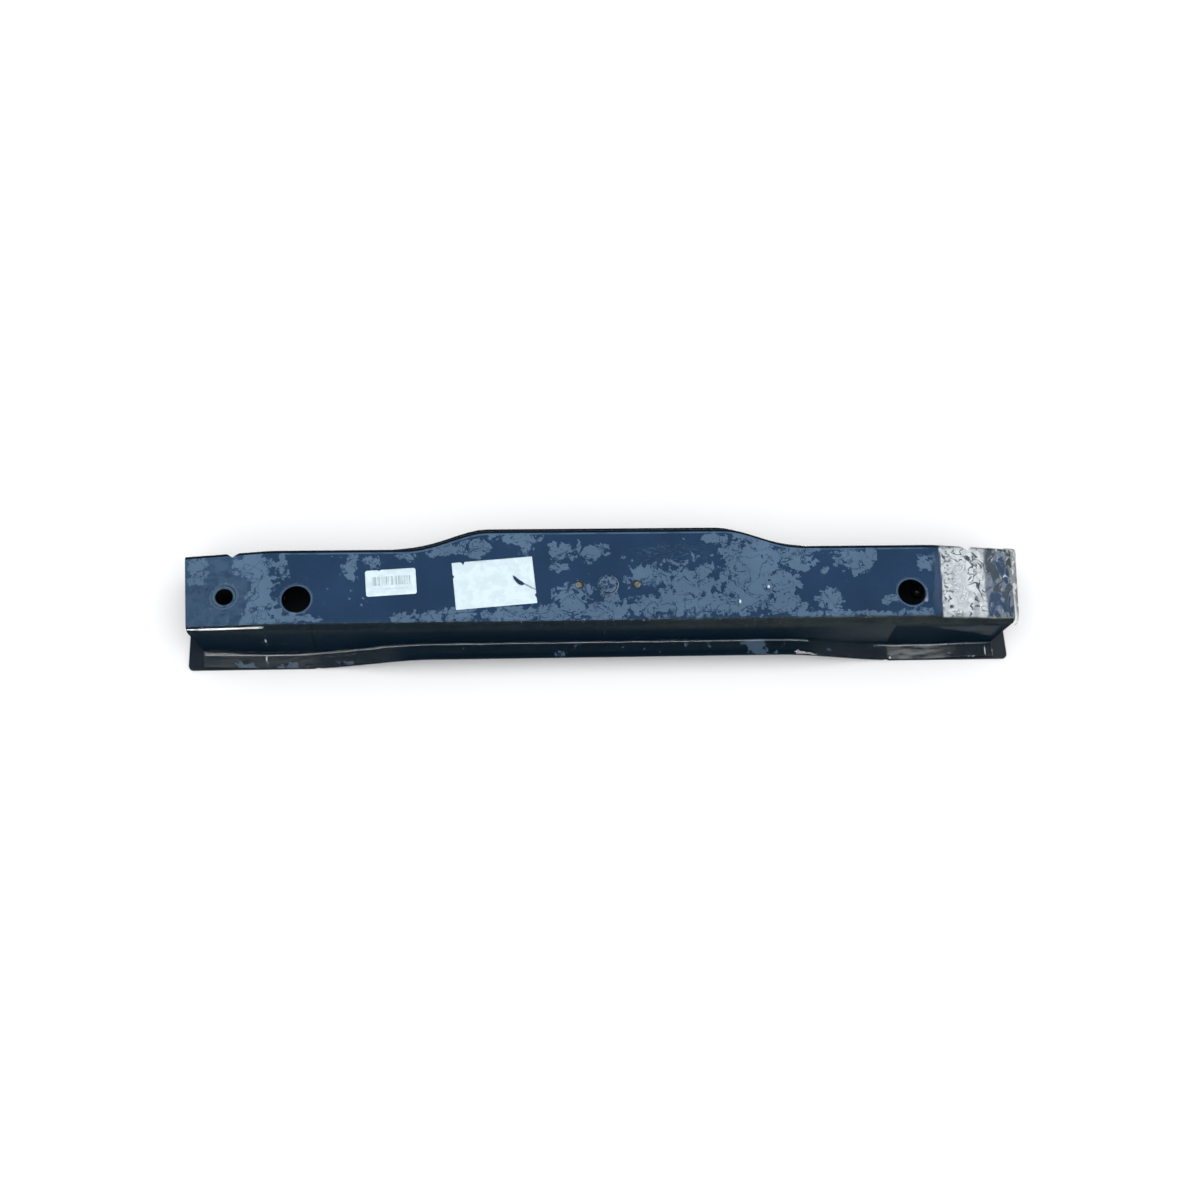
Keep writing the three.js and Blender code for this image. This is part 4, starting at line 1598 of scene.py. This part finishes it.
def hang_lights(scene, settings):
    world = bpy.data.worlds.new("studio_air")
    scene.world = world
    world.use_nodes = True
    sky = world.node_tree.nodes["Background"]
    sky.inputs["Color"].default_value = SKY_COLOUR
    sky.inputs["Strength"].default_value = SKY_STRENGTH
    world.cycles_visibility.glossy = False
    powers = {
        "key_lamp": settings.key_power,
        "fill_lamp": settings.fill_power,
        "wing_lamp": settings.wing_power,
        "edge_lamp": settings.edge_power,
        "corner_lamp": CORNER_POWER,
    }
    for name, place, aim, width, height, unseen in LAMPS:
        lamp = area_lamp(name, place, aim, width, height, powers[name])
        setattr(lamp, unseen, False)
    scene.view_settings.view_transform = "Standard"


def set_camera(scene):
    azimuth = math.radians(CAMERA_AZIMUTH)
    elevation = math.radians(CAMERA_ELEVATION)
    roll = math.radians(CAMERA_ROLL)
    target = Vector(CAMERA_TARGET) * MM
    back = Vector(
        (
            math.sin(azimuth) * math.cos(elevation),
            -math.cos(azimuth) * math.cos(elevation),
            math.sin(elevation),
        )
    )
    right = Vector((math.cos(azimuth), math.sin(azimuth), 0.0))
    up = back.cross(right)
    turned_right = math.cos(roll) * right + math.sin(roll) * up
    turned_up = -math.sin(roll) * right + math.cos(roll) * up
    camera = bpy.data.cameras.new("camera")
    camera.sensor_width = 36.0
    camera.lens = CAMERA_LENS
    camera.clip_start = 0.05
    camera.clip_end = 60.0
    holder = bpy.data.objects.new("camera", camera)
    turn = Matrix((turned_right, turned_up, back)).transposed()
    holder.matrix_world = Matrix.Translation(target + CAMERA_DISTANCE * back) @ turn.to_4x4()
    scene.collection.objects.link(holder)
    scene.camera = holder


# ---------------------------------------------------------------- panel


class BEAM_PT_parts(bpy.types.Panel):
    """Lists the beam's pieces and settings"""

    bl_idname = "BEAM_PT_parts"
    bl_label = "Reinforcement Beam"
    bl_space_type = "VIEW_3D"
    bl_region_type = "UI"
    bl_category = "Beam"

    def draw(self, context):
        scene = context.scene
        for group in ("beam_paint", "beam_film", "beam_labels", "beam_metal", "beam_stage"):
            settings = getattr(scene, group)
            box = self.layout.box()
            for name in settings.__annotations__:
                box.prop(settings, name)
        for operator in OPERATORS:
            self.layout.operator(operator.bl_idname)


SETTINGS = {
    "beam_paint": PaintSettings,
    "beam_film": FilmSettings,
    "beam_labels": LabelSettings,
    "beam_metal": MetalSettings,
    "beam_stage": StageSettings,
}
OPERATORS = (
    BEAM_OT_paint_channel,
    BEAM_OT_paint_rear,
    BEAM_OT_paint_inside,
    BEAM_OT_weld_nuts,
    BEAM_OT_tow_socket,
    BEAM_OT_blanking_plug,
    BEAM_OT_small_label,
    BEAM_OT_large_label,
    BEAM_OT_film,
    BEAM_OT_stage,
)


def register():
    for group in SETTINGS.values():
        bpy.utils.register_class(group)
    for name, group in SETTINGS.items():
        setattr(bpy.types.Scene, name, bpy.props.PointerProperty(type=group))
    for operator in OPERATORS:
        bpy.utils.register_class(operator)
    bpy.utils.register_class(BEAM_PT_parts)


def unregister():
    bpy.utils.unregister_class(BEAM_PT_parts)
    for operator in reversed(OPERATORS):
        bpy.utils.unregister_class(operator)
    for name in SETTINGS:
        delattr(bpy.types.Scene, name)
    for group in reversed(SETTINGS.values()):
        bpy.utils.unregister_class(group)


def main():
    register()
    bpy.ops.beam.paint_channel()
    bpy.ops.beam.paint_rear()
    bpy.ops.beam.paint_inside()
    bpy.ops.beam.weld_nuts()
    bpy.ops.beam.tow_socket()
    bpy.ops.beam.blanking_plug()
    bpy.ops.beam.small_label()
    bpy.ops.beam.large_label()
    bpy.ops.beam.film()
    bpy.ops.beam.stage()


if __name__ == "__main__":
    main()
